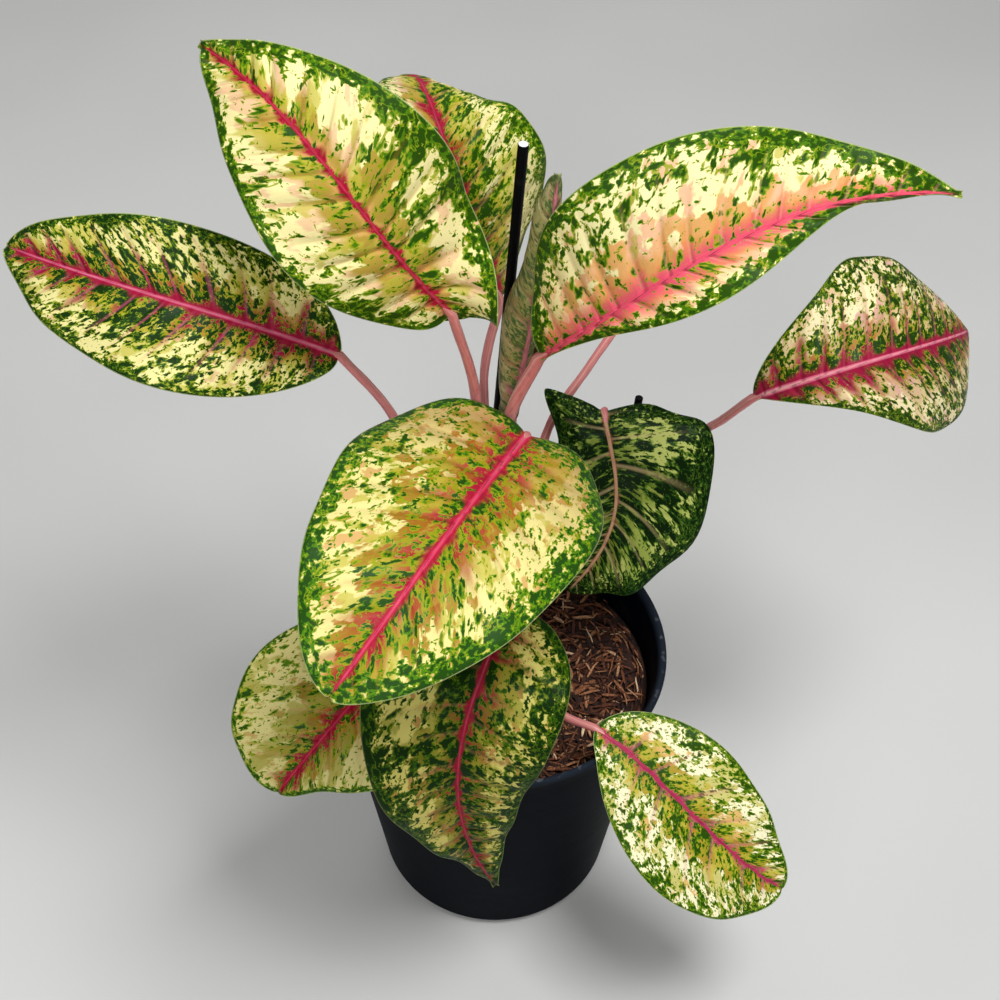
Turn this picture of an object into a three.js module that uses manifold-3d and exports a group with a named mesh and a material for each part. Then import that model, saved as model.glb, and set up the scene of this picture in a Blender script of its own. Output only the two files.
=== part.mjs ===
// A potted aglaonema with cream, green and pink leaves, in millimetres, +Z up.
// A short cane stands in a black nursery pot of coir chips. It carries twelve leaves, each a broad
// blade on a pink petiole, and two black stakes stand beside it. The origin is the middle of the
// pot's flat underside, and the front of the plant faces -Y.
import * as THREE from "three";
import { mergeVertices } from "three/addons/utils/BufferGeometryUtils.js";
import Module from "manifold-3d";

const wasm = await Module();
wasm.setup();

// Driving dimensions
const CLEARANCE = 0.3; // between pieces that touch

const POT_HEIGHT = 150;
const POT_RIM_RADIUS = 75;
const POT_BASE_RADIUS = 54;
const POT_HEEL_RADIUS = 7; // the round where the wall meets the underside
const POT_HEEL_FLARE = 1.5; // how far the wall stands outside the base's radius over the heel
const POT_HEEL_STEPS = 4;
const POT_WALL = 2;
const POT_BEAD_RADIUS = 1.6; // the rolled rim
const POT_BEAD_STEPS = 6;
const POT_FLOOR = 3;
const POT_SIDES = 40;
const DRAIN_HOLES = 6;
const DRAIN_RADIUS = 4;
const DRAIN_CIRCLE_RADIUS = 36;

const SOIL_HEIGHT = 126; // the level of the compost, between its chips
const SOIL_RELIEF = 1.6;
const SOIL_RINGS = 5;
const SOIL_FOOT_SHARE = 0.3; // the radius of the ring inside its underside, to the floor's
const CHIP_COUNT = 30;
const CHIP_LENGTH = [9, 17];
const CHIP_WIDTH = [1.8, 3.4];
const CHIP_THICKNESS = 2.4;
const CHIP_TILT = 0.15; // radians, either way
const CHIP_MARGIN = 3; // between a chip's end and the pot's wall
const CHIP_RISE = [0.25, 0.75]; // the height of its middle, in thicknesses over the compost
const CHIP_SEED = 7;

const CANE_RADIUS = 7;
const CANE_FOOT = 100; // the cane and the stakes are set this deep in the compost
const CANE_TOP = 212;
const CANE_NODE_SPACING = 14; // between the scars of shed leaves
const CANE_NODE_HEIGHT = 2.5;
const CANE_NODE_RISE = 0.5;
const CANE_TAPER = 0.15; // the share of its radius that the cane loses by its top

const STAKE_RADIUS = 1.9;
const STAKE_TOP = [7, 8, 404];
const STAKE_FOOT = [-11, 22, 98];
const PEG_RADIUS = 1.7;
const PEG_TOP = [58, 49, 253];
const PEG_FOOT = [46, 42, 104];
const ROUND_SIDES = 12; // of the cane, the stakes and the drain holes

const BLADE_THICKNESS = 0.8;
const KEEL_SHARE = 0.05; // the depth of the midrib's ridge under the blade, to the half width
const BLADE_COLUMNS = [0, 0.09, 0.38, 0.7, 1]; // from the midrib to the margin
const SCROLL_COLUMNS = [0, 0.1, 0.24, 0.38, 0.52, 0.68, 0.84, 1];
const BLADE_ENDS = [0.014, 0.996]; // the first and last row along the midrib
const WAVE_SHIFT = 0.13; // of the left margin's waves, so that they don't mirror the right's
const LEAST_HALF_WIDTH = 1.4; // of the rows at the two ends
const FOLD_ROUND = 3; // the fold at the midrib is rounded this far out
const VEIN_SWEEP = 1.1; // how far side veins run forward, per unit of half width
const LOBE_PEAK = 4.13; // scales the lobes' hump to a height of 1

const PETIOLE_SHEATH_RADIUS = 4.2;
const PETIOLE_RADIUS = 2.1;
const PETIOLE_TIP_RADIUS = 1.7;
const PETIOLE_SHEATH_SHARE = 0.4; // the share of a petiole's length that clasps and tapers
const PETIOLE_SIDES = 8;
const PETIOLE_STEP = 14;
const PETIOLE_STOP = 1.5 * CLEARANCE; // the petiole's end to the start of the midrib

// Leaves, from the lowest to the youngest.
// rib: four points that the midrib passes through, from the petiole's joint to the tip.
// face: where the upper side looks at the base, the middle and the tip of the midrib.
// left, right: half widths of the margin's ellipse at five even places from base to tip.
// foldLeft, foldRight: [share of length, rise at the midrib, bend out to the margin] in degrees.
// lobes: how far the two basal lobes reach back past the joint, as a share of the length. Below
// zero, the base is cut forward instead.
// wave: [height, waves along the margin, phase].
// petiole: its path from inside the cane to the blade, which ends at the midrib's first point.
const LEAVES = [
  {
    name: "lower_right",
    rib: [[42, -48, 154], [68, -66, 143], [94, -82, 123], [123, -90, 98]],
    face: [[0.1, -0.6, 0.8], [0.1, -0.7, 0.7], [0.3, -0.8, 0.5]],
    left: [25, 29, 29, 23, 15],
    right: [16, 26, 33, 34, 30],
    foldLeft: [[0, 12, 0], [0.5, 8, -25], [1, 10, 0]],
    foldRight: [[0, 40, 0], [0.35, 14, -20], [1, 10, 0]],
    lobes: [0, 0],
    wave: [1.5, 2, 0.2],
    rows: 16,
    petiole: [[2, -2, 138], [14, -20, 149], [28, -38, 150]],
    color: "#b7bd62",
  },
  {
    name: "lower_left",
    rib: [[-37, -36, 194], [-56, -56, 184], [-71, -72, 175], [-88, -80, 152]],
    face: [[0, -0.4, 0.9], [0, -0.7, 0.7], [-0.2, -0.9, 0.3]],
    left: [72, 57, 39, 19, 3],
    right: [49, 45, 42, 41, 40],
    foldLeft: [[0, 10, 0], [0.5, 8, -25], [1, 10, 0]],
    foldRight: [[0, 10, 0], [0.5, 8, -25], [1, 10, 0]],
    lobes: [0, 0],
    wave: [2, 2, 0.2],
    rows: 16,
    petiole: [[-2, -2, 150], [-15, -16, 184], [-27, -28, 197]],
    color: "#a8a957",
  },
  {
    name: "lower_front",
    rib: [[4, -46, 228], [-8, -86, 227], [-14, -100, 183], [1, -88, 95]],
    face: [[0, -0.5, 0.85], [0.1, -0.8, 0.6], [0, -0.95, 0.3]],
    left: [63, 46, 28, 13, 2],
    right: [79, 56, 31, 10, 2],
    foldLeft: [[0, 10, 0], [0.5, 8, -25], [1, 10, 0]],
    foldRight: [[0, 10, 0], [0.5, 8, -25], [1, 10, 0]],
    lobes: [0, 0],
    wave: [2, 2, 0.2],
    rows: 20,
    petiole: [[0, -2, 158], [3, -20, 200], [4, -34, 221]],
    color: "#9fa650",
  },
  {
    name: "right_turned",
    rib: [[43, 38, 255], [47, 20, 242], [47, 8, 219], [30, 2, 184]],
    face: [[0, -0.5, 0.85], [0, -0.7, 0.7], [-0.2, -0.95, 0.2]],
    left: [66, 54, 38, 23, 9],
    right: [110, 30, 31, 20, 9],
    foldLeft: [[0, 0, 0], [0.5, 5, -30], [1, 10, 0]],
    foldRight: [[0, 10, 20], [0.5, 8, -30], [1, 10, 0]],
    lobes: [0.05, 0.14],
    wave: [2.5, 3, 0],
    rows: 18,
    petiole: [[2, 2, 165], [14, 24, 200], [28, 40, 230], [38, 43, 243]],
    color: "#4d6b2a",
  },
  {
    name: "far_right",
    rib: [[98, 15, 285], [129, 2, 313], [164, 22, 308], [187, 52, 289]],
    face: [[-0.2, -0.7, 0.7], [0.1, -0.65, 0.8], [0.7, -0.2, 0.6]],
    left: [4, 22, 42, 52, 56],
    right: [2, 8, 27, 48, 58],
    foldLeft: [[0, 26, 0], [0.5, -10, -20], [1, -4, -30]],
    foldRight: [[0, 6, 0], [0.5, -16, -20], [1, -4, -30]],
    lobes: [0, 0],
    wave: [1, 2, 0.4],
    rows: 18,
    petiole: [[2, 0, 172], [29, 28, 202], [57, 48, 222], [84, 39, 244]],
    color: "#b9b061",
  },
  {
    name: "left",
    rib: [[-58, -5, 322], [-93, -14, 346], [-130, -12, 359], [-172, 6, 361]],
    face: [[0, -0.6, 0.8], [0, -0.7, 0.7], [-0.3, -0.6, 0.7]],
    left: [17, 27, 30, 25, 13],
    right: [15, 27, 27, 22, 17],
    foldLeft: [[0, 10, 0], [0.5, 8, -20], [1, 10, 0]],
    foldRight: [[0, 20, 10], [0.5, 20, -20], [1, 20, 0]],
    lobes: [0, 0],
    wave: [2, 2, 0.1],
    rows: 18,
    petiole: [[-2, 0, 176], [-23, 3, 232], [-42, 2, 289]],
    color: "#a9ad58",
  },
  {
    name: "back_right",
    rib: [[46, 62, 277], [60, 88, 292], [76, 110, 296], [92, 128, 288]],
    face: [[-0.2, -0.3, 0.9], [0, -0.1, 0.95], [0.2, 0.3, 0.8]],
    left: [28, 29, 29, 26, 12],
    right: [28, 29, 29, 26, 12],
    foldLeft: [[0, 14, 0], [0.5, 10, -15], [1, 10, 0]],
    foldRight: [[0, 14, 0], [0.5, 10, -15], [1, 10, 0]],
    lobes: [0, 0],
    wave: [1.5, 2, 0.2],
    rows: 14,
    petiole: [[1, 2, 184], [14, 26, 220], [21, 42, 243], [36, 54, 264]],
    color: "#a3a955",
  },
  {
    name: "front",
    rib: [[10, -24, 301], [-11, -74, 314], [-31, -112, 313], [-53, -136, 293]],
    face: [[0.1, -0.3, 0.95], [0, -0.5, 0.85], [-0.1, -0.8, 0.5]],
    left: [62, 52, 42, 32, 18],
    right: [66, 56, 46, 38, 27],
    foldLeft: [[0, 5, -20], [0.5, 8, -30], [1, 10, 0]],
    foldRight: [[0, 5, -20], [0.5, 8, -30], [1, 10, 0]],
    lobes: [0.1, 0.1],
    wave: [2, 2, 0.2],
    rows: 22,
    petiole: [[1, -2, 190], [8, -15, 240], [12, -17, 284]],
    color: "#b3b752",
  },
  {
    name: "upper_back",
    rib: [[0, 25, 324], [-13, 19, 372], [-24, 33, 401], [-34, 72, 389]],
    face: [[0.2, -0.85, 0.45], [0.25, -0.8, 0.75], [0.15, -0.1, 0.95]],
    left: [50, 42, 30, 18, 8],
    right: [50, 44, 35, 22, 10],
    foldLeft: [[0, 10, 0], [0.5, 10, -15], [1, -5, -30]],
    foldRight: [[0, -40, 0], [0.5, -4, -15], [1, 0, -30]],
    lobes: [0, 0],
    wave: [1, 2, 0.3],
    rows: 18,
    petiole: [[0, 2, 196], [-3, 14, 240], [-6, 24, 288]],
    color: "#b2b55c",
  },
  {
    name: "upper_left",
    rib: [[-17, -10, 346], [-41, -22, 392], [-65, -14, 424], [-98, 22, 431]],
    face: [[0.2, -0.7, 0.7], [0.1, -0.75, 0.65], [0, -0.8, 0.6]],
    left: [28, 30, 31, 18, -5],
    right: [32, 31, 34, 16, 1],
    foldLeft: [[0, -40, 10], [0.5, -3, -15], [1, 13, 0]],
    foldRight: [[0, 0, 40], [0.16, 20, 95], [0.4, 10, -15], [1, 10, 0]],
    lobes: [0.02, 0.13],
    wave: [1.5, 2.5, 0],
    rows: 20,
    petiole: [[-1, -1, 202], [-7, -3, 250], [-9, -4, 305]],
    color: "#b9bb5f",
  },
  {
    name: "upper_right",
    rib: [[14, -14, 330], [51, -34, 380], [94, -26, 402], [147, -16, 403]],
    face: [[-0.45, -0.9, 0.15], [-0.2, -0.9, 0.35], [0.3, -0.5, 0.8]],
    left: [18, 40, 39, 18, 1],
    right: [4, 5, 15, 0, 0],
    foldLeft: [[0, 8, 0], [0.3, 4, -10], [0.5, 13, -15], [1, 21, 0]],
    foldRight: [[0, 50, 10], [0.5, 13, 0], [1, 24, 0]],
    lobes: [-0.04, 0],
    wave: [2, 2.5, 0],
    rows: 22,
    petiole: [[1, -1, 206], [1, -7, 255], [4, -12, 300]],
    color: "#c0b566",
  },
  {
    name: "young",
    rib: [[5, -2, 287], [10, -9, 334], [15, -13, 373], [18, -10, 405]],
    face: [[-0.2, 0.9, 0], [-0.1, 1, 0.1], [0.1, 0.9, 0.3]],
    left: [12, 14, 14, 9, 6],
    right: [34, 38, 47, 22, 8],
    foldLeft: [[0, 10, 20], [0.25, 10, 150], [0.55, 10, 180], [0.8, 10, 100], [1, 10, 40]],
    foldRight: [[0, 10, 30], [0.2, 10, 225], [0.42, 5, 320], [0.6, 5, 280], [0.8, 5, 110], [1, 10, 30]],
    lobes: [0, 0],
    wave: [0, 0, 0],
    rows: 18,
    scroll: true,
    petiole: [[0, 0, 205], [0, 2, 240], [0, 3, 270]],
    color: "#6e6a3a",
  },
];

const COLORS = {
  pot: "#17181c",
  soil: "#4a2c1d",
  cane: "#8f8a56",
  petiole: "#c98289",
  stake: "#0d0d0f",
};

// A repeatable series of numbers from 0 to 1, so that every build gives the same chips.
function randomSeries(seed) {
  let state = seed;
  return () => {
    state = (state * 1664525 + 1013904223) % 4294967296;
    return state / 4294967296;
  };
}

// A closed geometry as a solid, turned to face out.
function solidOf(geometry) {
  const bare = geometry.clone();
  for (const name of Object.keys(bare.attributes)) {
    if (name !== "position") bare.deleteAttribute(name);
  }
  const merged = mergeVertices(bare, 1e-4);
  const corners = merged.index.array;
  const vertProperties = merged.attributes.position.array;
  const triVerts = [];
  for (let i = 0; i < corners.length; i += 3) {
    const [a, b, c] = corners.slice(i, i + 3);
    if (a !== b && b !== c && c !== a) triVerts.push(a, b, c);
  }
  const made = (order) =>
    new wasm.Manifold(new wasm.Mesh({ numProp: 3, vertProperties, triVerts: order }));
  const solid = made(new Uint32Array(triVerts));
  return solid.volume() > 0 ? solid : made(new Uint32Array(triVerts).reverse());
}

// A solid as a geometry, without the loose crumbs that a cut can leave.
function geometryOf(solid) {
  const bodies = solid.decompose().sort((a, b) => b.volume() - a.volume());
  const mesh = bodies[0].getMesh();
  const positions = new Float32Array(mesh.numVert * 3);
  for (let i = 0; i < mesh.numVert; i++) {
    const start = i * mesh.numProp;
    positions.set(mesh.vertProperties.subarray(start, start + 3), i * 3);
  }
  const geometry = new THREE.BufferGeometry();
  geometry.setAttribute("position", new THREE.BufferAttribute(positions, 3));
  geometry.setIndex(new THREE.BufferAttribute(mesh.triVerts, 1));
  geometry.computeVertexNormals();
  return geometry;
}

// A lathe turned about Z from [radius, height] points that start and end on the axis.
function turned(profile, sides) {
  const points = profile.map(([radius, height]) => new THREE.Vector2(radius, height));
  return new THREE.LatheGeometry(points, sides).rotateX(Math.PI / 2);
}

// A closed geometry from rings of points with the same count, and its two ends closed by fans.
function skinnedRings(rings) {
  const sides = rings[0].length;
  const points = rings.flat();
  const index = [];
  for (let ring = 0; ring + 1 < rings.length; ring++) {
    for (let side = 0; side < sides; side++) {
      const a = ring * sides + side;
      const b = ring * sides + ((side + 1) % sides);
      index.push(a, b, b + sides, a, b + sides, a + sides);
    }
  }
  const last = (rings.length - 1) * sides;
  for (let side = 1; side + 1 < sides; side++) {
    index.push(0, side + 1, side);
    index.push(last, last + side, last + side + 1);
  }
  return new THREE.BufferGeometry().setFromPoints(points).setIndex(index);
}

// The midrib's curve: the Bezier cubic that passes through four even points.
function ribCurve(rib) {
  const [p0, p1, p2, p3] = rib.map((point) => new THREE.Vector3(...point));
  const mixed = (a, b, c, d) =>
    new THREE.Vector3()
      .addScaledVector(p0, a / 6)
      .addScaledVector(p1, b / 6)
      .addScaledVector(p2, c / 6)
      .addScaledVector(p3, d / 6);
  return new THREE.CubicBezierCurve3(p0, mixed(-5, 18, -9, 2), mixed(2, -9, 18, -5), p3);
}

// A smooth value between five even ones.
function between(values, t) {
  const spans = values.length - 1;
  const span = Math.min(Math.floor(t * spans), spans - 1);
  const f = t * spans - span;
  const before = span > 0 ? values[span - 1] : 2 * values[0] - values[1];
  const after = span + 2 <= spans ? values[span + 2] : 2 * values[spans] - values[spans - 1];
  const [from, to] = [values[span], values[span + 1]];
  const square = 2 * before - 5 * from + 4 * to - after;
  const cube = 3 * from - before - 3 * to + after;
  return from + 0.5 * f * (to - before + f * (square + f * cube));
}

// The rise and the bend of one side at a share t of the length, in radians.
function foldAt(keys, t) {
  let span = 0;
  while (span + 2 < keys.length && t >= keys[span + 1][0]) span++;
  const [start, rise, bend] = keys[span];
  const [end, nextRise, nextBend] = keys[span + 1];
  const f = THREE.MathUtils.smoothstep(t, start, end);
  return [
    THREE.MathUtils.degToRad(THREE.MathUtils.lerp(rise, nextRise, f)),
    THREE.MathUtils.degToRad(THREE.MathUtils.lerp(bend, nextBend, f)),
  ];
}

// One point of a blade's middle surface, and the way its upper side faces there. t runs from base
// to tip, and v from the midrib at 0 to the margin, -1 on the left and 1 on the right.
function bladePoint(leaf, curve, t, v) {
  const out = Math.abs(v);
  const onLeft = v < 0;
  const swell = Math.sin(Math.PI * t);
  const length = curve.getLength();
  const evenPlace = 0.5 * (1 - Math.cos(Math.PI * t));
  const meanHalfWidth = (swell * (between(leaf.left, t) + between(leaf.right, t))) / 2;
  const ribPlace = evenPlace * (1 - (VEIN_SWEEP * meanHalfWidth) / length);
  const lobe = leaf.lobes[onLeft ? 0 : 1] * LOBE_PEAK * swell * (1 - t) ** 4;
  const place = ribPlace + (evenPlace - lobe - ribPlace) * out ** 1.15;
  const along = THREE.MathUtils.clamp(place, 0, 1);
  const tangent = curve.getTangentAt(along);
  const point = curve.getPointAt(along);
  point.addScaledVector(tangent, (place - along) * length);

  const [atBase, atMiddle, atTip] = leaf.face.map((look) => new THREE.Vector3(...look));
  const normal = new THREE.Vector3()
    .addScaledVector(atBase, (1 - along) ** 2)
    .addScaledVector(atMiddle, 2 * along * (1 - along))
    .addScaledVector(atTip, along ** 2);
  normal.addScaledVector(tangent, -normal.dot(tangent)).normalize();
  const side = tangent.clone().cross(normal);

  const halfWidth = Math.max(
    swell * between(onLeft ? leaf.left : leaf.right, t),
    LEAST_HALF_WIDTH,
  );
  const [rise, bend] = foldAt(onLeft ? leaf.foldLeft : leaf.foldRight, t);
  const turn = Math.abs(bend) < 1e-3 ? 1e-3 : bend;
  const slope = rise + turn * out;
  const across = (halfWidth * (Math.sin(slope) - Math.sin(rise))) / turn;
  let lift = (-halfWidth * (Math.cos(slope) - Math.cos(rise))) / turn;
  const [height, waves, phase] = leaf.wave;
  const turns = waves * t + phase + (onLeft ? WAVE_SHIFT : 0);
  lift += height * Math.sin(2 * Math.PI * turns) * out ** 2 * Math.sqrt(swell);
  point.addScaledVector(side, Math.sign(v) * across).addScaledVector(normal, lift);
  const tilt = slope * Math.min(1, (out * halfWidth) / FOLD_ROUND);
  const facing = normal.multiplyScalar(Math.cos(tilt));
  facing.addScaledVector(side, -Math.sign(v) * Math.sin(tilt));
  return { point, facing: facing.normalize() };
}

// A blade as a slab: rows along the midrib, columns across it, and a keel under the midrib.
function bladeGeometry(leaf) {
  const curve = ribCurve(leaf.rib);
  const half = leaf.scroll ? SCROLL_COLUMNS : BLADE_COLUMNS;
  const columns = [...half.slice(1).reverse().map((v) => -v), ...half];
  const middle = [];
  for (let row = 0; row <= leaf.rows; row++) {
    const t = THREE.MathUtils.lerp(...BLADE_ENDS, row / leaf.rows);
    middle.push(columns.map((v) => bladePoint(leaf, curve, t, v)));
  }
  const lastRow = leaf.rows;
  const lastColumn = columns.length - 1;
  const upper = [];
  const lower = [];
  middle.forEach((line, row) => {
    const spread = line[0].point.distanceTo(line[lastColumn].point) / 2;
    const ridge = KEEL_SHARE * spread * (1 - row / lastRow);
    line.forEach(({ point, facing }, column) => {
      const keel = columns[column] === 0 ? ridge : 0;
      upper.push(point.clone().addScaledVector(facing, BLADE_THICKNESS / 2));
      lower.push(point.clone().addScaledVector(facing, -BLADE_THICKNESS / 2 - keel));
    });
  });

  const width = columns.length;
  const below = upper.length;
  const index = [];
  const quad = (a, b, c, d) => index.push(a, b, c, a, c, d);
  for (let row = 0; row < lastRow; row++) {
    for (let column = 0; column < lastColumn; column++) {
      const a = row * width + column;
      const [b, c, d] = [a + 1, a + width + 1, a + width];
      // The diagonals run out and forward, as the side veins do, alike on both faces. At the
      // joint they run back instead, as the lobes do.
      if (columns[column] >= 0 === row > 0) {
        quad(a, b, c, d);
        quad(below + a, below + d, below + c, below + b);
      } else {
        quad(b, c, d, a);
        quad(below + d, below + c, below + b, below + a);
      }
    }
    const left = row * width;
    const right = left + lastColumn;
    quad(left, left + width, below + left + width, below + left);
    quad(right, below + right, below + right + width, right + width);
  }
  for (let column = 0; column < lastColumn; column++) {
    const tip = lastRow * width + column;
    quad(column, below + column, below + column + 1, column + 1);
    quad(tip, tip + 1, below + tip + 1, below + tip);
  }
  return new THREE.BufferGeometry().setFromPoints([...upper, ...lower]).setIndex(index);
}

// A petiole's solid: a tapering stalk whose sheath clasps the cane. Growing it makes the room
// that its neighbours leave it.
function petioleSolid(leaf, grow) {
  const path = leaf.petiole.map((point) => new THREE.Vector3(...point));
  const midrib = ribCurve(leaf.rib);
  path.push(midrib.getPointAt(0).addScaledVector(midrib.getTangentAt(0), -PETIOLE_STOP));
  const curve = new THREE.CatmullRomCurve3(path, false, "centripetal");
  const steps = Math.round(curve.getLength() / PETIOLE_STEP);
  const { normals, binormals } = curve.computeFrenetFrames(steps, false);
  const rings = [];
  for (let step = 0; step <= steps; step++) {
    const share = step / steps;
    const clasp = 1 - THREE.MathUtils.smoothstep(share, 0, PETIOLE_SHEATH_SHARE);
    const stalk = THREE.MathUtils.lerp(PETIOLE_RADIUS, PETIOLE_TIP_RADIUS, share);
    const radius = stalk + (PETIOLE_SHEATH_RADIUS - PETIOLE_RADIUS) * clasp + grow;
    const center = curve.getPointAt(share);
    if (step === steps) center.addScaledVector(curve.getTangentAt(1), grow);
    const ring = [];
    for (let side = 0; side < PETIOLE_SIDES; side++) {
      const angle = (2 * Math.PI * side) / PETIOLE_SIDES;
      const point = center.clone().addScaledVector(normals[step], radius * Math.cos(angle));
      ring.push(point.addScaledVector(binormals[step], radius * Math.sin(angle)));
    }
    rings.push(ring);
  }
  return solidOf(skinnedRings(rings));
}

// The cane, with a low ridge at each leaf scar.
function caneSolid(grow) {
  const foot = CANE_FOOT - grow;
  const profile = [[0, foot], [CANE_RADIUS - CANE_NODE_RISE + grow, foot]];
  for (let z = CANE_FOOT; z + CANE_NODE_SPACING < CANE_TOP; z += CANE_NODE_SPACING) {
    const radius = CANE_RADIUS * (1 - (CANE_TAPER * (z - CANE_FOOT)) / (CANE_TOP - CANE_FOOT));
    const scar = z + CANE_NODE_SPACING;
    profile.push([radius - CANE_NODE_RISE + grow, scar - CANE_NODE_HEIGHT]);
    profile.push([radius + grow, scar]);
  }
  profile.push([CANE_RADIUS / 2 + grow, CANE_TOP + grow], [0, CANE_TOP + grow]);
  return solidOf(turned(profile, ROUND_SIDES));
}

// A round rod between two points.
function rodSolid(foot, top, radius, grow) {
  const from = new THREE.Vector3(...foot);
  const to = new THREE.Vector3(...top);
  const length = from.distanceTo(to);
  const direction = to.clone().sub(from).normalize();
  const wide = radius + grow;
  const rod = new THREE.CylinderGeometry(wide, wide, length + 2 * grow, ROUND_SIDES);
  const turn = new THREE.Quaternion().setFromUnitVectors(new THREE.Vector3(0, 1, 0), direction);
  rod.applyQuaternion(turn);
  const middle = from.lerp(to, 0.5);
  rod.translate(middle.x, middle.y, middle.z);
  return solidOf(rod);
}

const stakeTall = (grow) => rodSolid(STAKE_FOOT, STAKE_TOP, STAKE_RADIUS, grow);
const stakeShort = (grow) => rodSolid(PEG_FOOT, PEG_TOP, PEG_RADIUS, grow);

// The pot's radius on the outside of its wall at a height.
function potRadius(z) {
  const rise = (z - POT_HEEL_RADIUS) / (POT_HEIGHT - POT_HEEL_RADIUS);
  const wallTop = POT_RIM_RADIUS - POT_BEAD_RADIUS;
  return THREE.MathUtils.lerp(POT_BASE_RADIUS + POT_HEEL_FLARE, wallTop, rise);
}

function potSolid() {
  const profile = [[0, 0]];
  const heelCenter = potRadius(POT_HEEL_RADIUS) - POT_HEEL_RADIUS;
  for (let step = 0; step <= POT_HEEL_STEPS; step++) {
    const angle = (-Math.PI / 2) * (1 - step / POT_HEEL_STEPS);
    profile.push([
      heelCenter + POT_HEEL_RADIUS * Math.cos(angle),
      POT_HEEL_RADIUS * (1 + Math.sin(angle)),
    ]);
  }
  // The rim is rolled out to a round bead.
  const beadHeight = POT_HEIGHT - POT_BEAD_RADIUS;
  const beadCenter = POT_RIM_RADIUS - POT_BEAD_RADIUS;
  profile.push([potRadius(beadHeight - 3 * POT_BEAD_RADIUS), beadHeight - 3 * POT_BEAD_RADIUS]);
  for (let step = 0; step <= POT_BEAD_STEPS; step++) {
    const angle = -Math.PI / 3 + (step / POT_BEAD_STEPS) * Math.PI;
    profile.push([
      beadCenter + POT_BEAD_RADIUS * Math.cos(angle),
      beadHeight + POT_BEAD_RADIUS * Math.sin(angle),
    ]);
  }
  const innerTop = POT_HEIGHT - 2 * POT_BEAD_RADIUS;
  profile.push([potRadius(innerTop) - POT_WALL, innerTop]);
  profile.push([potRadius(POT_HEEL_RADIUS) - POT_WALL, POT_HEEL_RADIUS + POT_FLOOR]);
  profile.push([heelCenter, POT_FLOOR]);
  profile.push([0, POT_FLOOR]);
  let pot = solidOf(turned(profile, POT_SIDES));
  for (let hole = 0; hole < DRAIN_HOLES; hole++) {
    const angle = ((hole + 0.5) * 2 * Math.PI) / DRAIN_HOLES;
    const height = 4 * POT_FLOOR;
    const bore = new THREE.CylinderGeometry(DRAIN_RADIUS, DRAIN_RADIUS, height, ROUND_SIDES);
    bore.rotateX(Math.PI / 2);
    bore.translate(DRAIN_CIRCLE_RADIUS * Math.cos(angle), DRAIN_CIRCLE_RADIUS * Math.sin(angle), 0);
    pot = pot.subtract(solidOf(bore));
  }
  return pot;
}

// The compost: it fills the pot, its top is uneven, and chips of husk lie half sunk in it.
function soilSolid() {
  const random = randomSeries(CHIP_SEED);
  const ring = (radius, height) => {
    const points = [];
    for (let side = 0; side < POT_SIDES; side++) {
      const angle = (2 * Math.PI * side) / POT_SIDES;
      points.push(new THREE.Vector3(radius * Math.sin(angle), -radius * Math.cos(angle), height));
    }
    return points;
  };
  const inner = (z) => potRadius(z) - POT_WALL - CLEARANCE;
  const foot = POT_FLOOR + CLEARANCE;
  const shoulder = POT_HEEL_RADIUS + POT_FLOOR;
  const heelCenter = potRadius(POT_HEEL_RADIUS) - POT_HEEL_RADIUS - CLEARANCE;
  const rings = [
    ring(heelCenter * SOIL_FOOT_SHARE, foot),
    ring(heelCenter, foot),
    ring(inner(POT_HEEL_RADIUS), shoulder + CLEARANCE),
    ring(inner(SOIL_HEIGHT - 1), SOIL_HEIGHT - 1),
  ];
  for (let step = 1; step < SOIL_RINGS; step++) {
    const top = ring(inner(SOIL_HEIGHT) * (1 - step / SOIL_RINGS), SOIL_HEIGHT);
    top.forEach((point) => {
      point.z += SOIL_RELIEF * (2 * random() - 1);
    });
    rings.push(top);
  }
  let soil = solidOf(skinnedRings(rings));
  const mix = (range) => THREE.MathUtils.lerp(...range, random());
  for (let chip = 0; chip < CHIP_COUNT; chip++) {
    const [length, width] = [mix(CHIP_LENGTH), mix(CHIP_WIDTH)];
    const reach = (inner(SOIL_HEIGHT) - length / 2 - CHIP_MARGIN) * Math.sqrt(random());
    const bearing = mix([0, 2 * Math.PI]);
    const husk = new THREE.BoxGeometry(length, width, CHIP_THICKNESS);
    husk.rotateY(mix([-CHIP_TILT, CHIP_TILT]));
    husk.rotateZ(mix([0, Math.PI]));
    const height = SOIL_HEIGHT + CHIP_THICKNESS * mix(CHIP_RISE);
    husk.translate(reach * Math.cos(bearing), reach * Math.sin(bearing), height);
    soil = soil.add(solidOf(husk));
  }
  return soil;
}

const plant = new THREE.Group();

function addPiece(name, solid, color, roughness) {
  const material = new THREE.MeshStandardMaterial({ color, roughness, metalness: 0 });
  const mesh = new THREE.Mesh(geometryOf(solid), material);
  mesh.name = name;
  plant.add(mesh);
}

const standing = [caneSolid(CLEARANCE), stakeTall(CLEARANCE), stakeShort(CLEARANCE)];
const cutBy = (solid, cutters) => cutters.reduce((left, cutter) => left.subtract(cutter), solid);

addPiece("pot", potSolid(), COLORS.pot, 0.6);
addPiece("soil", cutBy(soilSolid(), standing), COLORS.soil, 0.95);
addPiece("cane", caneSolid(0), COLORS.cane, 0.6);
addPiece("stake_tall", stakeTall(0), COLORS.stake, 0.5);
addPiece("stake_short", stakeShort(0), COLORS.stake, 0.5);

// The youngest petioles keep their round section, and the sheaths of older ones press round them.
const inner = [];
for (const leaf of [...LEAVES].reverse()) {
  const room = petioleSolid(leaf, CLEARANCE);
  const petiole = cutBy(petioleSolid(leaf, 0), [...standing, ...inner]);
  addPiece(`petiole_${leaf.name}`, petiole, COLORS.petiole, 0.45);
  addPiece(`blade_${leaf.name}`, solidOf(bladeGeometry(leaf)).subtract(room), leaf.color, 0.4);
  inner.push(room);
}

export default plant;
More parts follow.
